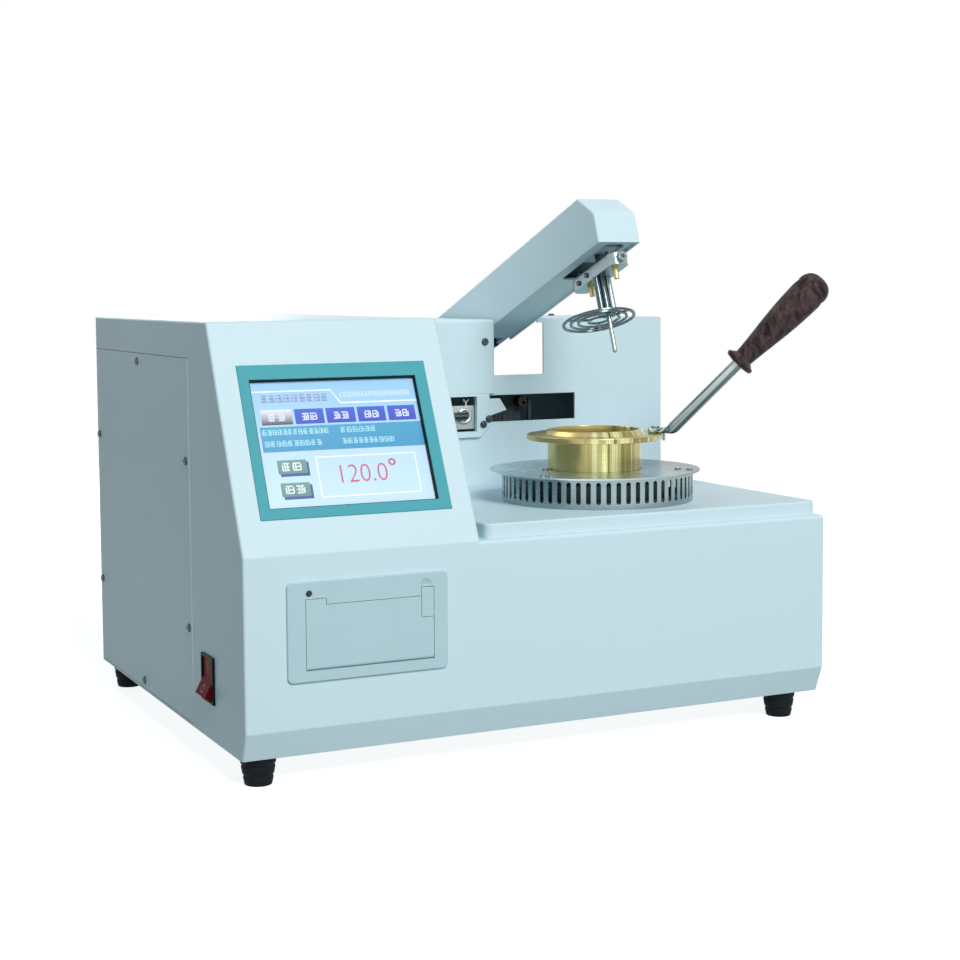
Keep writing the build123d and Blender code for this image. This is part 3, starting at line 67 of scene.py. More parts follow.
class Finish:
    # a material and short ways to add and join its nodes
    def __init__(self, name, **sockets):
        self.material = bpy.data.materials.new(name)
        self.material.use_nodes = True
        self.tree = self.material.node_tree
        self.shader = self.tree.nodes["Principled BSDF"]
        self.place = self.add("ShaderNodeTexCoord").outputs["Object"]
        for socket, value in sockets.items():
            self.shader.inputs[socketNames[socket]].default_value = value

    def add(self, kind, inputs=None, **settings):
        # a node with its settings, and each input either linked or given its value
        node = self.tree.nodes.new(kind)
        for key, value in settings.items():
            setattr(node, key, value)
        for key, value in (inputs or {}).items():
            if isinstance(value, bpy.types.NodeSocket):
                self.tree.links.new(value, node.inputs[key])
            else:
                node.inputs[key].default_value = value
        return node

    def stretch(self, scale, turn=(0, 0, 0)):
        # object coordinates scaled and then turned, for grain that runs one way
        inputs = {"Vector": self.place, "Rotation": turn, "Scale": scale}
        return self.add("ShaderNodeMapping", inputs).outputs["Vector"]

    def aboutAxis(self, centre):
        # coordinates from an upright axis, and those of rings round it: distance to the axis, 0, height
        inputs = {"Vector": self.place, "Location": (-centre[0], -centre[1], 0)}
        place = self.add("ShaderNodeMapping", inputs).outputs["Vector"]
        x, y, z = self.add("ShaderNodeSeparateXYZ", {"Vector": place}).outputs
        squares = self.math("ADD", self.math("MULTIPLY", x, x), self.math("MULTIPLY", y, y))
        rings = self.add("ShaderNodeCombineXYZ", {"X": self.math("SQRT", squares), "Z": z})
        return place, rings.outputs["Vector"]

    def noise(self, scale, detail=3.0, roughness=0.5, distortion=0.0, vector=None):
        inputs = {"Vector": vector or self.place, "Scale": scale, "Detail": detail, "Roughness": roughness,
                  "Distortion": distortion}
        return self.add("ShaderNodeTexNoise", inputs).outputs["Fac"]

    def ramp(self, factor, *stops):
        # colours at their positions along a factor of 0 to 1
        node = self.add("ShaderNodeValToRGB", {"Fac": factor})
        line = node.color_ramp
        while len(line.elements) < len(stops):
            line.elements.new(0.5)
        for element, (position, colour) in zip(line.elements, stops):
            element.position, element.color = position, colour
        return node.outputs["Color"]

    def span(self, factor, low, high):
        # a factor of 0 to 1 carried to low to high
        node = self.add("ShaderNodeMapRange", {"Value": factor, "To Min": low, "To Max": high})
        return node.outputs["Result"]

    def share(self, value, low, high):
        # how far a value has come from low to high, held between 0 and 1
        node = self.add("ShaderNodeMapRange", {"Value": value, "From Min": low, "From Max": high})
        return node.outputs["Result"]

    def math(self, operation, first, second=0.0):
        return self.add("ShaderNodeMath", {0: first, 1: second}, operation=operation).outputs["Value"]

    def mix(self, factor, first, second):
        return self.add("ShaderNodeMix", {"Factor": factor, 6: first, 7: second}, data_type="RGBA").outputs[2]

    def bump(self, height, distance, strength, edge=0.0):
        # bump over rounded edges; edge is the radius in metres that sharp edges appear to have
        inputs = {"Height": height, "Distance": distance, "Strength": strength}
        if edge:
            inputs["Normal"] = self.add("ShaderNodeBevel", {"Radius": edge}, samples=4).outputs["Normal"]
        return self.add("ShaderNodeBump", inputs).outputs["Normal"]

    def join(self, **sockets):
        for socket, output in sockets.items():
            self.tree.links.new(output, self.shader.inputs[socketNames[socket]])
        return self.material


enamel = {"specular": 0.16, "clouding": 0.02, "cloudScale": 9.0, "peelSize": 0.0011, "peelDepth": 0.00002,
          "softEdge": 0.0006}
metal = {"lineScale": 900.0, "stainScale": 35.0, "linePitch": 0.0004, "lineDepth": 0.00001,
         "turnedStain": 0.08,
         "softEdge": 0.0003}


def powderCoat(name, colour, roughness):
    # baked enamel: fine orange peel, faint clouding and softened sheet edges
    finish = Finish(name, specular=enamel["specular"])
    pale = 1 - enamel["clouding"]
    tone = finish.mix(finish.noise(enamel["cloudScale"], 2.0), shaded(colour, pale, pale, pale), colour)
    peel = finish.noise(1 / enamel["peelSize"], 2.0, 0.4)
    rough = finish.span(finish.noise(60.0, 3.0), roughness - 0.05, roughness + 0.05)
    return finish.join(colour=tone, roughness=rough,
                       normal=finish.bump(peel, enamel["peelDepth"], 0.35, enamel["softEdge"]))


def brushedMetal(name, colour, roughness, grain=(1, 1, 1), stain=0.08):
    # rolled metal: fine lines along one direction and a soft stain; on the ring steel below, a large stain
    # share gives dark blotches that are painted dark reflections
    finish = Finish(name, metal=1.0)
    lines = finish.noise(metal["lineScale"], 4.0, 0.6, 0.0, finish.stretch(grain))
    clean = 1 - stain
    tone = finish.mix(finish.noise(metal["stainScale"], 4.0), shaded(colour, clean, clean, clean), colour)
    rough = finish.span(lines, roughness - 0.07, roughness + 0.09)
    return finish.join(colour=tone, roughness=rough,
                       normal=finish.bump(lines, metal["lineDepth"], 0.5, metal["softEdge"]))


def turnedMetal(name, colour, roughness, centre):
    # lathe-turned metal: rings about an upright axis, from the distance to it and the height
    finish = Finish(name, metal=1.0)
    lines = finish.noise(1 / metal["linePitch"], 2.0, 0.5, 0.0, finish.aboutAxis(centre)[1])
    stain = metal["turnedStain"]
    tone = finish.mix(finish.noise(60.0, 4.0, 0.6, 0.3),
                      shaded(colour, 1 - stain, 1 - 1.2 * stain, 1 - 2 * stain), colour)
    rough = finish.span(lines, roughness - 0.05, roughness + 0.08)
    return finish.join(colour=tone, roughness=rough,
                       normal=finish.bump(lines, metal["lineDepth"], 0.5, metal["softEdge"]))


def shadedAcross(name, litSide, shadedSide, roughness, reach):
    # rolled plate with painted light and shade: its colour drifts from a pale side to a darker, painted-shade
    # side over the reach, in metres from the origin
    finish = Finish(name, metal=0.9)
    across = finish.add("ShaderNodeSeparateXYZ", {"Vector": finish.place}).outputs["X"]
    shadeShare = finish.math("ADD", finish.share(across, *reach),
                        finish.span(finish.noise(30.0, 3.0), -0.14, 0.14))
    rough = finish.span(finish.noise(60.0, 3.0), roughness - 0.06, roughness + 0.1)
    return finish.join(colour=finish.mix(shadeShare, litSide, shadedSide), roughness=rough)


def mouldedPlastic(name, colour, roughness, grainSize=0.0007, depth=0.00002, specular=0.45):
    # moulded plastic: a fine spark-eroded texture and slight shade changes
    finish = Finish(name, specular=specular)
    tone = finish.mix(finish.noise(25.0, 3.0), shaded(colour, 0.94, 0.94, 0.94), colour)
    grain = finish.noise(1 / grainSize, 2.0)
    rough = finish.span(finish.noise(90.0, 2.0), roughness - 0.05, roughness + 0.06)
    return finish.join(colour=tone, roughness=rough, normal=finish.bump(grain, depth, 0.4, 0.0003))


# painted reflections on the cup's brass: the size of the bands, their share against the fine ones, and the
# side that carries them
brass = {"linePitch": 1 / 3600, "reflectionScale": 6.5, "fineReflectionScale": 26.0, "reflectionShare": 0.6,
         "reflectedSide": (0.75, -0.66, 0), "reflectionsStart": -0.1, "reflectionsFull": 0.35}


def brassWithPaintedReflections(name, plain, colour, dark, bright, roughness, centre):
    # turned brass: rings as above, and painted reflections: upright dark and bright bands from the direction
    # round the axis, on one side of it only
    finish = Finish(name, metal=0.8)
    place, rings = finish.aboutAxis(centre)
    level = finish.add("ShaderNodeVectorMath", {0: place, 1: (1, 1, 0)}, operation="MULTIPLY").outputs[0]
    around = finish.add("ShaderNodeVectorMath", {0: level}, operation="NORMALIZE").outputs[0]
    reflectionBands = finish.noise(brass["reflectionScale"], 2.0, 0.6, 0.0, around)
    fineReflections = finish.noise(brass["fineReflectionScale"], 3.0, 0.6, 0.0, around)
    lines = finish.noise(1 / brass["linePitch"], 2.0, 0.5, 0.0, rings)
    mixed = finish.math("ADD", finish.math("MULTIPLY", reflectionBands, brass["reflectionShare"]),
                        finish.math("MULTIPLY", fineReflections, 1 - brass["reflectionShare"]))
    paintedReflections = finish.ramp(mixed, (0.38, dark), (0.47, colour), (0.52, colour), (0.6, bright))
    side = finish.add("ShaderNodeVectorMath", {0: around, 1: brass["reflectedSide"]}, operation="DOT_PRODUCT")
    share = finish.share(side.outputs["Value"], brass["reflectionsStart"], brass["reflectionsFull"])
    rough = finish.span(lines, roughness - 0.05, roughness + 0.08)
    return finish.join(colour=finish.mix(share, plain, paintedReflections), roughness=rough,
                       normal=finish.bump(lines, metal["lineDepth"], 0.4, metal["softEdge"]))


def reflectionStreaked(name, dark, bright, roughness, turn):
    # painted reflections: long dark and bright lines that run along the bar, from a noise stretched along the
    # turned axis
    finish = Finish(name, metal=0.85)
    turned = finish.add("ShaderNodeMapping", {"Vector": finish.place, "Rotation": turn}).outputs["Vector"]
    long = finish.add("ShaderNodeMapping", {"Vector": turned, "Scale": (1, 1, 0.01)}).outputs["Vector"]
    lines = finish.noise(330.0, 1.0, 0.5, 0.0, long)
    between = tuple(0.35 * (np.array(dark) + np.array(bright)))
    tone = finish.ramp(lines, (0.4, dark), (0.5, between), (0.6, bright))
    return finish.join(colour=tone, roughness=finish.span(lines, roughness, roughness + 0.12))


def mottled(name, colour, pale, roughness):
    # marbled moulding: soft wavy bands from a noise warped by itself
    finish = Finish(name, specular=0.12)
    warp = finish.noise(105.0, 4.0, 0.6, 1.6, finish.stretch((1.0, 1.0, 0.55), (0.5, 0.7, 0)))
    between = tuple(np.array(colour) + 0.35 * np.array(pale))
    tone = finish.ramp(warp, (0.34, colour), (0.5, between), (0.68, pale))
    rough = finish.span(finish.noise(300.0, 2.0), roughness - 0.06, roughness + 0.08)
    return finish.join(colour=tone, roughness=rough,
                       normal=finish.bump(finish.noise(900.0, 2.0), 0.00001, 0.3))


def tinted(name, strength):
    # takes its colour from the piece's own tint attribute and glows a little with it
    finish = Finish(name, roughness=0.25, specular=0.3, glowStrength=strength)
    tint = finish.add("ShaderNodeAttribute", attribute_name="tint").outputs["Color"]
    dots = finish.span(finish.noise(2600.0, 1.0, 0.4), 0.9, 1.0)
    tone = finish.mix(dots, (1, 1, 1, 1), tint)
    return finish.join(colour=tone, glow=tone)


layout = {"shift": (222.8207, 189.1, 0.0),      # bench millimetres to the origin under the middle
          "cup": (301.0, 92.5), "deck": 147.5, "armPivot": (314.9, 268.2), "armRise": 20.0,
          "panelLean": 25.005}                  # degrees the display panel leans back


def toScene(points):
    # bench millimetres to scene metres
    return (np.asarray(points, float) - layout["shift"]) * millimetre


def onArm(points):
    # the level arm's points turned up about the arm shaft by its rest angle
    points = np.array(points, float)
    (pivotY, pivotZ), lean = layout["armPivot"], radians(layout["armRise"])
    y, z = points[..., 1] - pivotY, points[..., 2] - pivotZ
    points[..., 1] = pivotY + y * cos(lean) + z * sin(lean)
    points[..., 2] = pivotZ - y * sin(lean) + z * cos(lean)
    return points


def onPanel(points):
    # (x, distance up the sloping panel, height above it) to bench millimetres
    points, lean = np.asarray(points, float), radians(layout["panelLean"])
    x, up, out = points[..., 0], points[..., 1], points[..., 2]
    return np.stack([x, up * sin(lean) - out * cos(lean),
                     layout["deck"] + up * cos(lean) + out * sin(lean)], -1)


def softened(outline, reach, steps=5):
    # each inner corner of an open outline becomes a parabola that starts and ends `reach` from it
    points = np.asarray(outline, float)
    corner = points[1:-1]

    def cut(far):
        # the point `reach` from each corner towards its neighbour, or a little short of halfway there
        side = far - corner
        return corner + side * np.minimum(reach / np.linalg.norm(side, axis=1, keepdims=True), 0.46)

    share = np.linspace(0, 1, steps)[None, :, None]
    arc = ((1 - share) ** 2 * cut(points[:-2])[:, None] + 2 * share * (1 - share) * corner[:, None]
           + share ** 2 * cut(points[2:])[:, None])
    return np.vstack([points[:1], arc.reshape(-1, points.shape[1]), points[-1:]])


def pegOutline(radius, low, high, reach):
    # the outline of a short round peg with softened ends
    return softened([(0, low), (radius, low), (radius, high), (0, high)], reach)


def lathe(outline, centre=(0, 0, 0), sides=96):
    # (radius, height) points turned about an upright axis: x = r cos a, y = r sin a
    outline = np.asarray(outline, float)
    angle = np.linspace(0, 2 * pi, sides, endpoint=False)
    radius, height = outline[:, :1], outline[:, 1:]
    return np.stack([radius * np.cos(angle), radius * np.sin(angle), height + 0 * angle], -1) + centre


def carried(path, sideways, radii, ring=36, power=1.0):
    # an ellipse carried along a path; one axis lies along `sideways`, the other square to it and to the path;
    # a power under 1 squares the ellipse
    path, sideways, radii = (np.asarray(v, float) for v in (path, sideways, radii))
    ahead = np.gradient(path, axis=0)
    ahead /= np.linalg.norm(ahead, axis=1, keepdims=True)
    upward = np.cross(ahead, sideways)
    angle = np.linspace(0, 2 * pi, ring, endpoint=False)[None, :, None]
    wave, rise = (np.sign(v) * np.abs(v) ** power for v in (np.cos(angle), np.sin(angle)))
    wide, thick = radii[:, 0, None, None], radii[:, 1, None, None]
    return path[:, None] + sideways * wide * wave + upward[:, None] * thick * rise


def along(grid, start, ahead):
    # a shape on the Z axis moved so that Z points along `ahead` from `start`
    turn = np.array(Vector(ahead).normalized().to_track_quat("Z", "Y").to_matrix())
    return grid @ turn.T + np.asarray(start, float)


def slab(low, high):
    # the eight corners of a box as a grid of two rows
    (x0, y0, z0), (x1, y1, z1) = low, high
    ring = [(x0, y0), (x1, y0), (x1, y1), (x0, y1)]
    return np.array([[(x, y, z) for x, y in ring] for z in (z0, z1)], float)


def makePiece(name, grids, material, body="chassis", takes=(), caps=False, smooth=True):
    # quads between the neighbours of each grid of points; columns close on themselves, caps shut the end rows
    vertices, faces, start = [], [], 0
    for grid in grids:
        rows, columns = grid.shape[:2]
        left = np.arange(rows * columns).reshape(rows, columns) + start
        right = np.roll(left, -1, 1)
        faces += np.stack([left[:-1], right[:-1], right[1:], left[1:]], -1).reshape(-1, 4).tolist()
        if caps:
            faces += [left[0, ::-1].tolist(), left[-1].tolist()]
        vertices.append(toScene(grid.reshape(-1, 3)))
        start += rows * columns
    mesh = bpy.data.meshes.new(name)
    mesh.from_pydata(np.concatenate(vertices).tolist(), [], faces)
    work = bmesh.new()
    work.from_mesh(mesh)
    bmesh.ops.remove_doubles(work, verts=work.verts, dist=1e-6)
    bmesh.ops.dissolve_degenerate(work, edges=work.edges, dist=1e-7)
    bmesh.ops.recalc_face_normals(work, faces=work.faces)
    work.to_mesh(mesh)
    work.free()
    mesh.materials.append(material)
    piece = bpy.data.objects.new(name, mesh)
    scene.collection.objects.link(piece)
    if smooth:
        mesh.shade_smooth()
        mesh.set_sharp_from_angle(angle=0.7)
    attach(piece, body)
    if takes:
        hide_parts(*takes)


cupAxis = toScene((*layout["cup"], 0))
materials = {
    "case_paint": powderCoat("caseEnamel", linear(213, 234, 242), 0.45),
    "zinc_steel": brushedMetal("zincPlate", linear(150, 156, 158), 0.42, (1, 0.1, 1)),
    "bright_steel": brushedMetal("brightSteel", linear(158, 174, 174), 0.22, (1, 1, 0.15), 0.35),
    "stainless": turnedMetal("turnedStainless", linear(156, 174, 180), 0.26, cupAxis),
    "cast_heater": turnedMetal("machinedHeater", linear(74, 92, 98), 0.4, cupAxis),
    "insulation": mouldedPlastic("insulationBoard", linear(128, 134, 132), 0.9, 0.0012, 0.0001),
    "alloy": brushedMetal("machinedAlloy", linear(205, 214, 214), 0.4),
    "motor_grey": powderCoat("motorGrey", linear(96, 102, 106), 0.5),
    "belt_rubber": mouldedPlastic("beltRubber", linear(28, 29, 30), 0.7, 0.0006, 0.00004),
    "foot_rubber": mouldedPlastic("footRubber", linear(17, 23, 26), 0.7, 0.0009, 0.00005, 0.15),
    "cup_brass": brassWithPaintedReflections("turnedBrass", linear(190, 170, 108), linear(190, 180, 118), linear(128, 116, 66),
                          linear(250, 245, 190), 0.24, cupAxis),
    "fitting_brass": brushedMetal("fittingBrass", linear(196, 176, 120), 0.3),
    "grip_bakelite": mottled("mottledBakelite", linear(22, 15, 18), linear(98, 78, 78), 0.5),
    "bezel_teal": mouldedPlastic("tealBezel", linear(76, 168, 180), 0.55, specular=0.25),
    "black_plastic": mouldedPlastic("blackPlastic", linear(14, 18, 22), 0.5, specular=0.12),
    "board_green": mouldedPlastic("solderMask", linear(28, 96, 58), 0.35),
    "printer_plastic": mouldedPlastic("printerPlastic", linear(186, 213, 220), 0.5),
    "print_head_metal": brushedMetal("headMetal", linear(150, 152, 155), 0.4),
    "paper": mouldedPlastic("thermalPaper", linear(244, 244, 240), 0.8, 0.0004),
    "rocker_red": mouldedPlastic("rockerRed", linear(104, 10, 18), 0.5, specular=0.06),
    "screen": mouldedPlastic("screenGlass", linear(196, 226, 250), 0.25, specular=0.2),
}
darkSteel = brushedMetal("darkSteel", linear(88, 100, 104), 0.25, (1, 1, 0.15))
# a dark copy of the case enamel for the igniter mount inside the backboard's slot: painted shade
darkBoard = powderCoat("darkBracket", linear(66, 80, 82), 0.55)
# paler than the case enamel: a painted highlight for the left panel's seam edge
highlightEdge = mouldedPlastic("highlightEdge", linear(246, 255, 255), 0.5)
paleMark = mouldedPlastic("paleMark", linear(168, 104, 104), 0.5)
sleeveRubber = mouldedPlastic("sleeveRubber", linear(26, 30, 32), 0.6)
# the heater plate's top: painted light, pale towards the left and painted shade towards the right
shadedAcrossPlate = shadedAcross("shadedAcrossPlate", linear(212, 232, 238), linear(112, 128, 130), 0.26, (0.02, 0.13))
# the pilot burner's own reddish-brown colour, darkened as painted shade for the inside of the backboard's
# slot
shadedBronze = brushedMetal("shadedBronze", linear(74, 56, 50), 0.55)
# darker steel with heavy dark blotches for the detector ring and sensor post: painted dark reflections of
# polished steel
ringSteel = brushedMetal("ringSteel", linear(96, 112, 116), 0.2, stain=0.5)
screenInk = tinted("screenInk", 0.1)
ownFinish = {"igniter_mount": darkBoard, "pilot_burner": shadedBronze, "detector_ring": ringSteel,
             "sensor_post": ringSteel, "cover_screws": darkSteel, "heater_top_plate": shadedAcrossPlate}
for part in frame["record"]["subparts"]:
    slots = nodes[part["node"]].data.materials
    slots.clear()
    slots.append(ownFinish.get(part["node"], materials[part["material_slot"]]))
print("materials: done")

# the test cup: bowl, rounded flange, fill line and conical rim
cup = {"seat": 172.6, "base": 3.0, "depth": 33.6, "outer": 34.1, "inner": 31.75, "flange": 49.25,
       "flangeThick": 3.8, "rimHigh": 3.6, "rimFlare": 2.8, "fillLine": 9.0, "lineHalf": 0.4, "lineDeep": 0.6,
       "inside": 0.1, "corner": 0.45, "sides": 180}     # `inside` is how far it keeps within the solid


def makeCup():
    # one closed outline of radius and height, softened at its corners and turned
    seat, outer, inner, flange = cup["seat"], cup["outer"], cup["inner"], cup["flange"]
    thin, half, deep, inside = cup["inside"] / 2, cup["lineHalf"], cup["lineDeep"], cup["inside"]
    floor, top = seat + cup["base"], seat + cup["base"] + cup["depth"]
    over, line = top - cup["rimHigh"], top - cup["fillLine"]
    under = over - cup["flangeThick"]
    outline = [(0, seat + inside), (outer - 0.4, seat + inside), (outer - inside, seat + 1.2),
               (outer - inside, under), (flange - thin, under + thin), (flange - thin, over - thin),
               (outer + cup["rimFlare"] - 0.2, over - thin), (outer + 0.2, top - 0.5),
               (outer - 0.8, top - inside), (inner + 0.15, top - inside),
               (inner + inside, line + half + 0.1), (inner + deep, line + half),
               (inner + deep, line - half), (inner + inside, line - half - 0.1),
               (inner + inside, floor), (0, floor)]
    grid = lathe(softened(outline, cup["corner"], 4), (*layout["cup"], 0), cup["sides"])
    makePiece("turnedCup", [grid], materials["cup_brass"], "cup", ("test_cup",))


makeCup()
print("test cup: done")

# the handle: flattened end, bent bar, steadying peg, marbled grip with its collar
handle = {"bearing": -28.0, "flangeTop": 205.6, "eye": 44.2, "eyeRadius": 5.0, "thick": 4.2, "bend": 55.8,
          "end": (103.4, 49.8), "bendReach": 4.6, "barRadius": 4.25, "gripLong": 86.8, "gripSmall": 7.0,
          "gripLarge": 12.3, "collar": 11.4, "collarThick": 4.0, "pegReach": 50.65, "pegRadius": 1.05,
          "pegLong": 5.3}
handleTurn = radians(handle["bearing"])
barRun, barRise = handle["end"][0] - handle["bend"], handle["end"][1] - handle["thick"] / 2
barAhead = Vector((barRun * cos(handleTurn), barRun * sin(handleTurn), barRise)).normalized()
barTurn = barAhead.to_track_quat("Z", "Y").inverted().to_euler("XYZ")
# the handle bar's steel carries painted reflections: dark and bright lines along it
reflectionStreakedSteel = reflectionStreaked("reflectionStreakedSteel", linear(66, 82, 84), linear(208, 220, 218), 0.22, barTurn)


def onHandle(points):
    # (reach, sideways, height over the flange) to bench millimetres
    points, (cupX, cupY) = np.asarray(points, float), layout["cup"]
    reach, side, up = points[..., 0], points[..., 1], points[..., 2]
    return np.stack([cupX + reach * cos(handleTurn) - side * sin(handleTurn),
                     cupY + reach * sin(handleTurn) + side * cos(handleTurn), handle["flangeTop"] + up], -1)


def makeBar():
    # an ellipse, wide and low at the eye and round past the bend, carried along the softened path
    middle, radius, eyeRadius = handle["thick"] / 2, handle["barRadius"], handle["eyeRadius"]
    corner = [(handle["eye"] - eyeRadius, 0, middle), (handle["bend"], 0, middle),
              (handle["end"][0], 0, handle["end"][1])]
    bent = softened(corner, handle["bendReach"], 16)
    path = np.vstack([np.linspace(bent[0], bent[1], 16)[:-1], bent[1:-1],
                      np.linspace(bent[-2], bent[-1], 14)[1:]])
    reach = path[:, 0]
    share = np.clip((reach - handle["bend"] + handle["bendReach"]) / (1.5 * handle["bendReach"]), 0, 1)
    toRound = share ** 2 * (3 - 2 * share)
    nose = np.sqrt(np.clip(1 - ((handle["eye"] - reach) / eyeRadius).clip(0, 1) ** 2, 0.0004, 1))
    wide = (eyeRadius * (1 - toRound) + radius * toRound) * nose
    thick = (middle - 0.03) * (1 - toRound) + radius * toRound
    sideways = onHandle((0, 1, 0)) - onHandle((0, 0, 0))
    bar = carried(onHandle(path), sideways, np.stack([wide, thick], -1), 40, 0.8)
    makePiece("bentBar", [bar], reflectionStreakedSteel, "cup", ("handle_rod",), caps=True)
    peg = lathe(pegOutline(handle["pegRadius"], -handle["pegLong"], 0.8, 0.4), (0, 0, 0), 24)
    makePiece("steadyPeg", [onHandle(peg + (handle["pegReach"], 0, 0))], materials["bright_steel"],
              body="cup")


def makeGrip():
    # collar, swelling belly, a groove and a rounded end, as one outline turned about the bar's line
    small, large, long = handle["gripSmall"], handle["gripLarge"], handle["gripLong"]
    collar, thin = handle["collar"], handle["collarThick"]
    neck = [(0, 0.1), (handle["barRadius"] + 1.0, 0.1), (collar - 1.0, 1.0), (collar, 2.2), (collar, thin),
            (collar - 1.6, thin + 0.8), (small, thin + 3.0)]
    share = np.linspace(0.04, 1, 14)
    belly = np.stack([small + (large - small) * np.sin(share * pi / 2) ** 1.25,
                      thin + 3 + (long - 16 - thin - 3) * share], -1)
    groove = [(large - 0.5, long - 12.6), (large - 0.5, long - 12.0), (large - 0.05, long - 11.6)]
    angle = np.linspace(0.1, 1, 10) * pi / 2
    dome = np.stack([(large - 0.05) * np.cos(angle) ** 0.75, long - 11.2 + 11.1 * np.sin(angle)], -1)
    dome[-1, 0] = 0
    start = onHandle((handle["end"][0], 0, handle["end"][1]))
    ahead = start - onHandle((handle["bend"], 0, handle["thick"] / 2))
    outline = np.vstack([softened(neck, 0.5, 4), belly, groove, dome])
    makePiece("marbledGrip", [along(lathe(outline, (0, 0, 0), 72), start, ahead)], materials["grip_bakelite"],
              "cup", ("handle_grip",))


makeBar()
makeGrip()
print("handle: done")

# the moulded feet, four turned blocks with two ribs each; the profile is radius and height
feet = {"places": ((15.0, 21.0), (15.0, 335.0), (414.0, 21.0), (414.0, 335.0)),
        "profile": ((0, 1.2), (4.2, 1.2), (4.6, 0), (8.7, 0), (9.0, 0.8), (9.8, 5.0), (9.3, 5.5), (9.5, 6.6),
                    (10.2, 7.2), (11.0, 12.0), (10.5, 12.5), (10.7, 13.6), (11.4, 14.2), (11.8, 18.45),
                    (0, 18.45)),
        "corner": 0.35}


def makeFeet():
    # the softened profile turned at each corner of the case
    outline = softened(feet["profile"], feet["corner"], 3)
    grids = [lathe(outline, (x, y, 0), 48) for x, y in feet["places"]]
    makePiece("ribbedFeet", grids, materials["foot_rubber"], takes=("rubber_feet",))


makeFeet()
print("feet: done")

# the picture on the display, in parts of its width from the left and of its height from the top:
# rectangles are (left, top, right, foot), layer, colour at the top and at the foot;
# rows of marks are (left, right, middle, height, how many, seed), layer and colour
screen = {"left": 23.0, "low": 31.0, "wide": 115.2, "high": 86.4, "sunk": -2.93, "layer": 0.02,
          "white": (250, 252, 255), "blue": (52, 88, 208), "deepBlue": (40, 66, 196),
          "grounds": (((0.0, 0.0, 1.0, 0.36), 0, (150, 202, 240), (172, 212, 244)),
                      ((0.0, 0.36, 1.0, 1.0), 0, (184, 216, 246), (204, 232, 252))),
          "rules": ((0.0, 0.071, 0.48, 0.081), (0.527, 0.178, 1.0, 0.189)),
          "slantRule": ((0.48, 0.071), (0.48, 0.083), (0.527, 0.189), (0.533, 0.178)),
          "words": (((0.055, 0.465, 0.135, 0.062, 9, 3), 1, (146, 156, 200)),
                    ((0.53, 0.965, 0.118, 0.042, 20, 5), 1, (212, 232, 252)),
                    ((0.035, 0.43, 0.402, 0.045, 13, 21), 3, (176, 230, 246)),
                    ((0.50, 0.72, 0.402, 0.045, 6, 22), 3, (176, 230, 246)),
                    ((0.04, 0.38, 0.492, 0.045, 10, 23), 3, (176, 230, 246)),
                    ((0.50, 0.82, 0.492, 0.045, 10, 24), 3, (176, 230, 246))),
          "tabs": ((0.043, 0.225), (0.242, 0.415), (0.43, 0.605), (0.62, 0.79), (0.807, 0.977)),
          "tabTop": 0.222, "tabLow": 0.342, "tabInk": (226, 234, 255), "heavy": 0.03,
          "chosenTab": ((236, 238, 250), (24, 26, 60)),
          "band": ((0.025, 0.358, 1.0, 0.555), 2, (60, 158, 200), (52, 150, 196)),
          "buttons": ((0.622, 37), (0.80, 39)), "buttonInk": (232, 244, 240),
          "box": (0.32, 0.606, 0.926, 0.928), "boxLine": 0.009}
readings = {"readingFigures": ("120.0", (0.453, 0.737, 0.68, 0.82), -0.012, (212, 96, 124)),
            "readingUnit": ("\u00b0", (0.752, 0.797, 0.648, 0.704), 0.004, (204, 56, 80))}
stroke = {"levels": (0.0, 0.42, 0.84), "uprights": (0.0, 0.3, 0.6, 0.88), "wide": 0.78, "inset": 0.16,
          "drop": 0.3, "levelThick": 0.13, "uprightThick": 0.1}


def screenPlace(across, down, layer):
    # parts of the picture to bench millimetres on the sunk screen
    across, down = np.asarray(across, float), np.asarray(down, float)
    out = screen["sunk"] + screen["layer"] * layer + 0 * across
    return onPanel(np.stack([screen["left"] + across * screen["wide"],
                             screen["low"] + (1 - down) * screen["high"], out], -1))


def marks(left, right, middle, height, count, seed, heavy=0.0):
    # a row of small lattices in place of words, each of three level strokes and three upright ones
    chance = np.random.default_rng(seed)
    pitch = (right - left) / count
    wide, top, foot = pitch * stroke["wide"], middle - height / 2, middle - height / 2 + height * 0.95
    line, post = height * (stroke["levelThick"] + heavy), height * (stroke["uprightThick"] + heavy)
    made = []
    for start in left + pitch * np.arange(count):
        for level in stroke["levels"]:
            inset, cut = chance.uniform(0, stroke["inset"], 2) * wide
            high = top + level * height
            made.append((start + inset, high, start + wide - cut, high + line))
        for across in chance.choice(stroke["uprights"], 3, replace=False):
            high = top + chance.uniform(0, stroke["drop"]) * height
            made.append((start + across * wide, high, start + across * wide + post, foot))
    return made


def addPicture(mesh, colours):
    # gives a flat mesh its corner colours and the display's ink, and fixes it to the case
    mesh.attributes.new("tint", "FLOAT_COLOR", "CORNER").data.foreach_set("color", colours.astype(np.float32))
    mesh.materials.clear()
    mesh.materials.append(screenInk)
    piece = bpy.data.objects.new(mesh.name, mesh)
    scene.collection.objects.link(piece)
    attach(piece, "chassis")


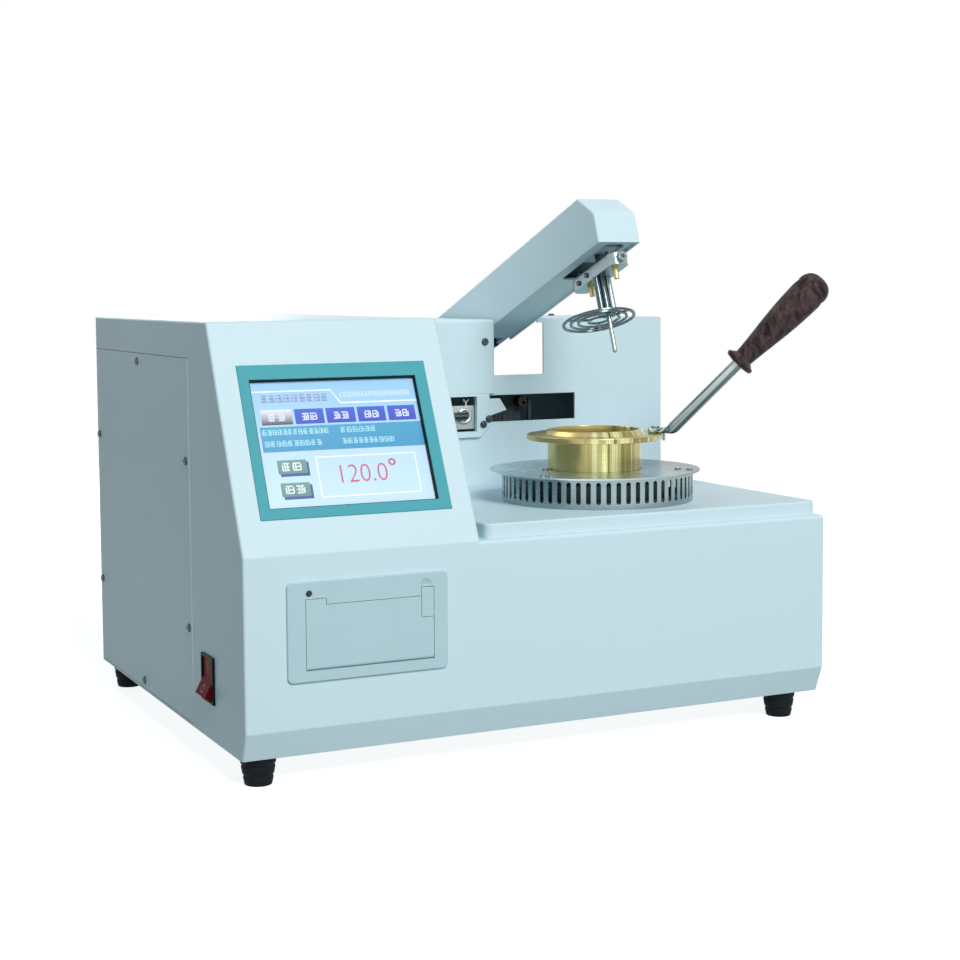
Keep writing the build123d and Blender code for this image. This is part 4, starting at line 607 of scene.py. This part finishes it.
def makeScreen():
    # a table of upright rectangles and one slanting one, each with a colour for its top and its foot
    white, heavy = screen["white"], screen["heavy"]
    rows = [*screen["grounds"], *((place, 1, white, white) for place in screen["rules"])]

    def write(row, layer, ink):
        rows.extend((place, layer, ink, ink) for place in marks(*row))

    for row, layer, ink in screen["words"]:
        write(row, layer, ink)
    top, low = screen["tabTop"], screen["tabLow"]
    for k, (left, right) in enumerate(screen["tabs"]):
        colours = screen["chosenTab"] if k == 0 else (screen["blue"], screen["deepBlue"])
        rows.append(((left, top, right, low), 2, *colours))
        write((left + 0.042, right - 0.034, 0.284, 0.058, 2, 11 + k, heavy), 3, screen["tabInk"])
    rows.append(screen["band"])
    for top, seed in screen["buttons"]:
        rows.append(((0.103, top + 0.018, 0.275, top + 0.128), 2, (44, 84, 150), (36, 76, 150)))
        rows.append(((0.092, top, 0.262, top + 0.106), 3, (112, 150, 150), (98, 138, 138)))
        write((0.116, 0.242, top + 0.053, 0.064, 2, seed, heavy), 4, screen["buttonInk"])
    (left, top, right, low), line = screen["box"], screen["boxLine"]
    for place in ((left, top, right, top + line), (left, low - line, right, low),
                  (left, top, left + line * 0.75, low), (right - line * 0.75, top, right, low)):
        rows.append((place, 2, white, white))
    places = np.array([row[0] for row in rows])
    layers = np.array([row[1] for row in rows], float)[:, None]
    corners = screenPlace(places[:, [0, 2, 2, 0]], places[:, [3, 3, 1, 1]], layers)
    slant = np.array([screen["slantRule"]])
    corners = np.concatenate([corners, screenPlace(slant[..., 0], slant[..., 1], 1.0)])
    upper, lower = (np.array([linear(*row[k]) for row in rows] + [linear(*white)]) for k in (2, 3))
    mesh = bpy.data.meshes.new("screenPicture")
    mesh.from_pydata(toScene(corners.reshape(-1, 3)).tolist(), [],
                     np.arange(corners.shape[0] * 4).reshape(-1, 4).tolist())
    addPicture(mesh, np.stack([lower, lower, upper, upper], 1).ravel())


def makeReading(name, words, frameOf, heavy, colour):
    # flat figures, stretched to their frame of left, right, top and foot on the screen
    left, right, top, low = frameOf
    curve = bpy.data.curves.new(name, "FONT")
    curve.body, curve.resolution_u, curve.offset = words, 4, heavy
    temporary = bpy.data.objects.new(name + "Curve", curve)
    scene.collection.objects.link(temporary)
    mesh = bpy.data.meshes.new_from_object(temporary.evaluated_get(bpy.context.evaluated_depsgraph_get()))
    bpy.data.objects.remove(temporary)
    flat = np.empty(len(mesh.vertices) * 3, np.float32)
    mesh.vertices.foreach_get("co", flat)
    flat = flat.reshape(-1, 3)[:, :2]
    flat = (flat - flat.min(0)) / (flat.max(0) - flat.min(0))
    solid = toScene(screenPlace(left + flat[:, 0] * (right - left), low + flat[:, 1] * (top - low), 5.0))
    mesh.vertices.foreach_set("co", solid.ravel().astype(np.float32))
    mesh.name = name
    addPicture(mesh, np.tile(np.array(linear(*colour)), len(mesh.loops)))


makeScreen()
for name, reading in readings.items():
    makeReading(name, *reading)
print("display: done")

# the head on the arm: nuts, studs and screws on the clamp bar, and the stop's rubber sleeve
head = {"barLeft": 295.0, "barTop": 244.9, "nuts": ((299.5, 63.5), (302.0, 97.0), (300.0, 105.5)),
        "nutRadius": 3.1, "nutThick": 2.3, "studRadius": 1.5, "studTall": 5.2,
        "sideScrews": ((88.0, 241.5), (100.5, 240.0)), "screwRadius": 1.9, "screwTall": (1.3, 1.5),
        "stop": (282.9, 257.0), "stopInner": 4.0, "stopOuter": 4.7, "stopEnds": (286.2, 315.8)}


def makeHeadFittings():
    # hexagons and short studs on the upper side of the bar, domed screws down its left side, a turned sleeve
    radius, thick, top = head["nutRadius"], head["nutThick"], head["barTop"]
    nut = [(0, 0), (radius, 0), (radius, thick), (0, thick)]
    stud = pegOutline(head["studRadius"], 0, head["studTall"], 0.4)
    radius, (edgeTall, midTall) = head["screwRadius"], head["screwTall"]
    screw = lathe(softened([(0, 0), (radius, 0), (radius, edgeTall), (0, midTall)], 0.4), (0, 0, 0), 24)
    grids = [lathe(nut, (x, y, top + 0.05), 6) for x, y in head["nuts"]]
    grids += [lathe(stud, (x, y, top), 20) for x, y in head["nuts"]]
    grids += [along(screw, (head["barLeft"], y, z), (-1, 0, 0)) for y, z in head["sideScrews"]]
    makePiece("barFittings", [onArm(grid) for grid in grids], darkSteel, body="arm", smooth=False)
    inner, outer, (x0, x1), (y, z) = head["stopInner"], head["stopOuter"], head["stopEnds"], head["stop"]
    sleeve = lathe(softened([(inner, x0), (outer, x0), (outer, x1), (inner, x1), (inner, x0)], 0.4), sides=40)
    makePiece("stopSleeve", [onArm(sleeve[..., [2, 0, 1]] + (0, y, z))], sleeveRubber, body="arm")


makeHeadFittings()
print("head fittings: done")

# behind the backboard's window: a clamp ring, a pin and a small forked screw on the bearing block
window = {"face": 218.3, "ring": (255.6, 212.2), "ringRadius": 5.0, "ringThick": 1.35, "ringDeep": 1.0,
          "ringOpens": 140.0, "pinEnds": (243.0, 257.6), "pinLevel": 212.2, "pinRadius": 3.0,
          "screw": (258.6, 220.3), "stemRadius": 0.95, "stemTall": 3.0, "forkWide": 2.3}


def makeWindowDetails():
    # an open ring carried round part of a circle, a round-ended pin and a Y of two short arms on a stem
    face, (x, z), radius = window["face"], window["ring"], window["ringRadius"]
    angle = np.linspace(-radians(window["ringOpens"]), radians(window["ringOpens"]), 48)
    path = np.stack([x + radius * np.cos(angle), 0 * angle + face - 1.0, z + radius * np.sin(angle)], -1)
    ring = carried(path, (0, 1, 0), np.full((48, 2), (window["ringDeep"], window["ringThick"])), 16)
    makePiece("clampRing", [ring], materials["alloy"], body="chassis", caps=True)
    (x0, x1), radius = window["pinEnds"], window["pinRadius"]
    outline = softened([(0, x0), (radius, x0), (radius, x1 - 1.5), (radius * 0.6, x1 - 0.2), (0, x1)], 0.8)
    pin = lathe(outline, sides=32)[..., [2, 0, 1]] + (0, face - 3.3, window["pinLevel"])
    makePiece("crossPin", [pin], darkSteel, body="chassis")
    (x, z), y, wide = window["screw"], face + 3.0, window["forkWide"]
    stem = lathe(pegOutline(window["stemRadius"], 0, window["stemTall"], 0.3), (x, y, z - 0.3), 20)
    arms = [carried(np.linspace((x, y, z + 2.2), (x + side * wide, y, z + 4.8), 6), (0, 1, 0),
                    np.full((6, 2), (0.9, 0.75)), 16) for side in (-1, 1)]
    makePiece("forkedScrew", [stem] + arms, materials["alloy"], body="chassis", caps=True)


makeWindowDetails()
print("window details: done")

# small marks: the rocker's bar and ring, and the printer's lamp
rocker = {"pivot": (2.5, 73.2, 58.7), "tilt": 14.0, "faceLean": 14.0, "face": 3.2, "markRise": 7.6,
          "barHalf": 3.1, "barWide": 0.45, "ringRadius": 2.5, "ringWide": 0.42, "markThick": 0.06,
          "sink": 0.02,
          "lamp": (42.5, -0.6, 122.7)}


def onRocker(points):
    # (out of the face, along Y, up from the axle) on the tilted rocker
    points, (pivotX, pivotY, pivotZ) = np.asarray(points, float), rocker["pivot"]
    x, up, tilt = points[..., 0], points[..., 2], radians(rocker["tilt"])
    return np.stack([pivotX + x * cos(tilt) + up * sin(tilt), pivotY + points[..., 1],
                     pivotZ - x * sin(tilt) + up * cos(tilt)], -1)


def makeMarks():
    # a bar above and a ring below the axle, laid on the two faces of the tilted rocker, and a domed lamp
    rise, half, wide, thick = rocker["markRise"], rocker["barHalf"], rocker["barWide"], rocker["markThick"]
    slope = np.tan(radians(rocker["faceLean"]))
    bar = slab((-thick, -wide, rise - half), (thick, wide, rise + half))
    bar[..., 0] += -rocker["face"] - bar[..., 2] * slope - rocker["sink"]
    angle, radius = np.linspace(0, 2 * pi, 41), rocker["ringRadius"]
    path = np.stack([0 * angle, radius * np.cos(angle), -rise + radius * np.sin(angle)], -1)
    ring = carried(path, (1, 0, 0), np.full((41, 2), (thick, rocker["ringWide"])), 8)
    ring[..., 0] += -rocker["face"] + ring[..., 2] * slope - rocker["sink"]
    makePiece("rockerMarks", [onRocker(bar), onRocker(ring)], paleMark, body="rocker", smooth=False,
              caps=True)
    lamp = lathe(softened([(0, -0.2), (1.95, -0.2), (1.95, 0.5), (1.2, 0.95), (0, 1.05)], 0.4), sides=32)
    makePiece("printerLamp", [along(lamp, rocker["lamp"], (0, -1, 0))], sleeveRubber, body="chassis")


makeMarks()

# the turned-in front edge of the left side panel shows as a pale line in its seam: its pale colour is a
# painted highlight where the edge catches the light
edge = {"front": 109.0, "low": 20.5, "high": 267.0, "wide": 1.1, "proud": 0.55, "deep": 0.3}


def makePanelEdge():
    # a thin wedge: flush at its front, proud at its back, carried up the seam
    front, back, deep = edge["front"] - edge["wide"], edge["front"] + 0.1, edge["deep"]
    outline = [(deep, front), (0.0, front), (-edge["proud"], back), (deep, back)]
    wedge = np.array([[(x, y, z) for x, y in outline] for z in (edge["low"], edge["high"])])
    makePiece("panelEdge", [wedge], highlightEdge, body="chassis", smooth=False, caps=True)


makePanelEdge()
print("marks: done")

# camera, light and floor
camera = {"place": (-0.56322, -1.22040, 0.3125), "azimuth": 25.33, "elevation": 4.31, "roll": -0.46,
          "focal": 1770.9, "middle": (458.8, 421.3), "picture": 960}


def makeCamera():
    # looks along the azimuth from +Y, down by the elevation; the shift puts the optical axis at `middle`
    data = bpy.data.cameras.new("viewCamera")
    picture, (middleX, middleY) = camera["picture"], camera["middle"]
    data.sensor_width = 36.0
    data.lens = camera["focal"] / picture * data.sensor_width
    data.shift_x = (picture / 2 - middleX) / picture
    data.shift_y = (middleY - picture / 2) / picture
    azimuth, elevation, roll = (radians(camera[key]) for key in ("azimuth", "elevation", "roll"))
    ahead = Vector((sin(azimuth) * cos(elevation), cos(azimuth) * cos(elevation), -sin(elevation)))
    right = Vector((cos(azimuth), -sin(azimuth), 0))
    above = right.cross(ahead)
    right, above = (cos(roll) * right + sin(roll) * above, cos(roll) * above - sin(roll) * right)
    turn = Matrix((right, above, -ahead)).transposed()
    body = bpy.data.objects.new("viewCamera", data)
    body.matrix_world = Matrix.Translation(camera["place"]) @ turn.to_4x4()
    scene.collection.objects.link(body)
    scene.camera = body


light = {"skyStrength": 0.23, "skyColour": (0.82, 1.0, 1.02, 1), "white": (1, 1, 1, 1), "floorRadius": 1.9,
         "floorTone": (0.37, 0.44, 0.45, 1), "floorGlow": 0.84}
lamps = {"keyPanel": {"power": 66.0, "size": 1.1, "spread": 180.0, "place": (0.0, -2.47, 1.94),
                      "aim": (0, 0, 0.15), "shows": True},
         "fillPanel": {"power": 0.13, "size": 0.3, "spread": 62.0, "place": (-0.2, 0.2, 0.64),
                       "aim": (0.08, -0.02, 0.31), "shows": False},
         "backPanel": {"power": 15.0, "size": 1.0, "spread": 180.0, "place": (0.2, 2.4, 0.55),
                       "aim": (0, 0, 0.15), "shows": False}}


def makeSky():
    # a dim sky that lights the object, and plain white wherever a camera, glossy or transmission ray meets it
    world = bpy.data.worlds.new("paleStudio")
    scene.world = world
    world.use_nodes = True
    tree = world.node_tree
    dim, white = tree.nodes["Background"], tree.nodes.new("ShaderNodeBackground")
    dim.inputs["Color"].default_value = light["skyColour"]
    dim.inputs["Strength"].default_value = light["skyStrength"]
    white.inputs["Color"].default_value = light["white"]
    path, mix = tree.nodes.new("ShaderNodeLightPath"), tree.nodes.new("ShaderNodeMixShader")
    seen = path.outputs["Is Camera Ray"]
    for ray in ("Is Glossy Ray", "Is Transmission Ray"):
        either = tree.nodes.new("ShaderNodeMath")
        either.operation = "MAXIMUM"
        tree.links.new(seen, either.inputs[0])
        tree.links.new(path.outputs[ray], either.inputs[1])
        seen = either.outputs[0]
    for k, source in enumerate((seen, dim.outputs[0], white.outputs[0])):
        tree.links.new(source, mix.inputs[k])
    tree.links.new(mix.outputs[0], tree.nodes["World Output"].inputs["Surface"])


def makeLamps():
    # square area lamps, each turned so that its face looks from its place to its aim
    for name, values in lamps.items():
        lamp = bpy.data.lights.new(name, "AREA")
        lamp.energy, lamp.size, lamp.spread = values["power"], values["size"], radians(values["spread"])
        body = bpy.data.objects.new(name, lamp)
        body.location, body.visible_camera = values["place"], values["shows"]
        body.rotation_euler = (Vector(values["aim"]) - body.location).to_track_quat("-Z", "Y").to_euler()
        scene.collection.objects.link(body)


def makeFloor():
    # a round plain floor; its glow is for the rays that show it, so that it doesn't light the object
    finish = Finish("paleFloor", colour=light["floorTone"], roughness=0.9, specular=0.1, glow=light["white"])
    path = finish.add("ShaderNodeLightPath")
    seen = finish.math("MAXIMUM", path.outputs["Is Camera Ray"], path.outputs["Is Glossy Ray"])
    seen = finish.math("MAXIMUM", seen, path.outputs["Is Transmission Ray"])
    finish.join(glowStrength=finish.math("MULTIPLY", seen, light["floorGlow"]))
    angle = np.linspace(0, 2 * pi, 128, endpoint=False)
    rim = np.stack([np.cos(angle), np.sin(angle), 0 * angle], -1) * light["floorRadius"]
    mesh = bpy.data.meshes.new("floor")
    mesh.from_pydata(rim.tolist(), [], [list(range(len(rim)))])
    mesh.materials.append(finish.material)
    floor = bpy.data.objects.new("floor", mesh)
    scene.collection.objects.link(floor)


makeCamera()
makeSky()
makeLamps()
makeFloor()
print("camera, light and floor: done")
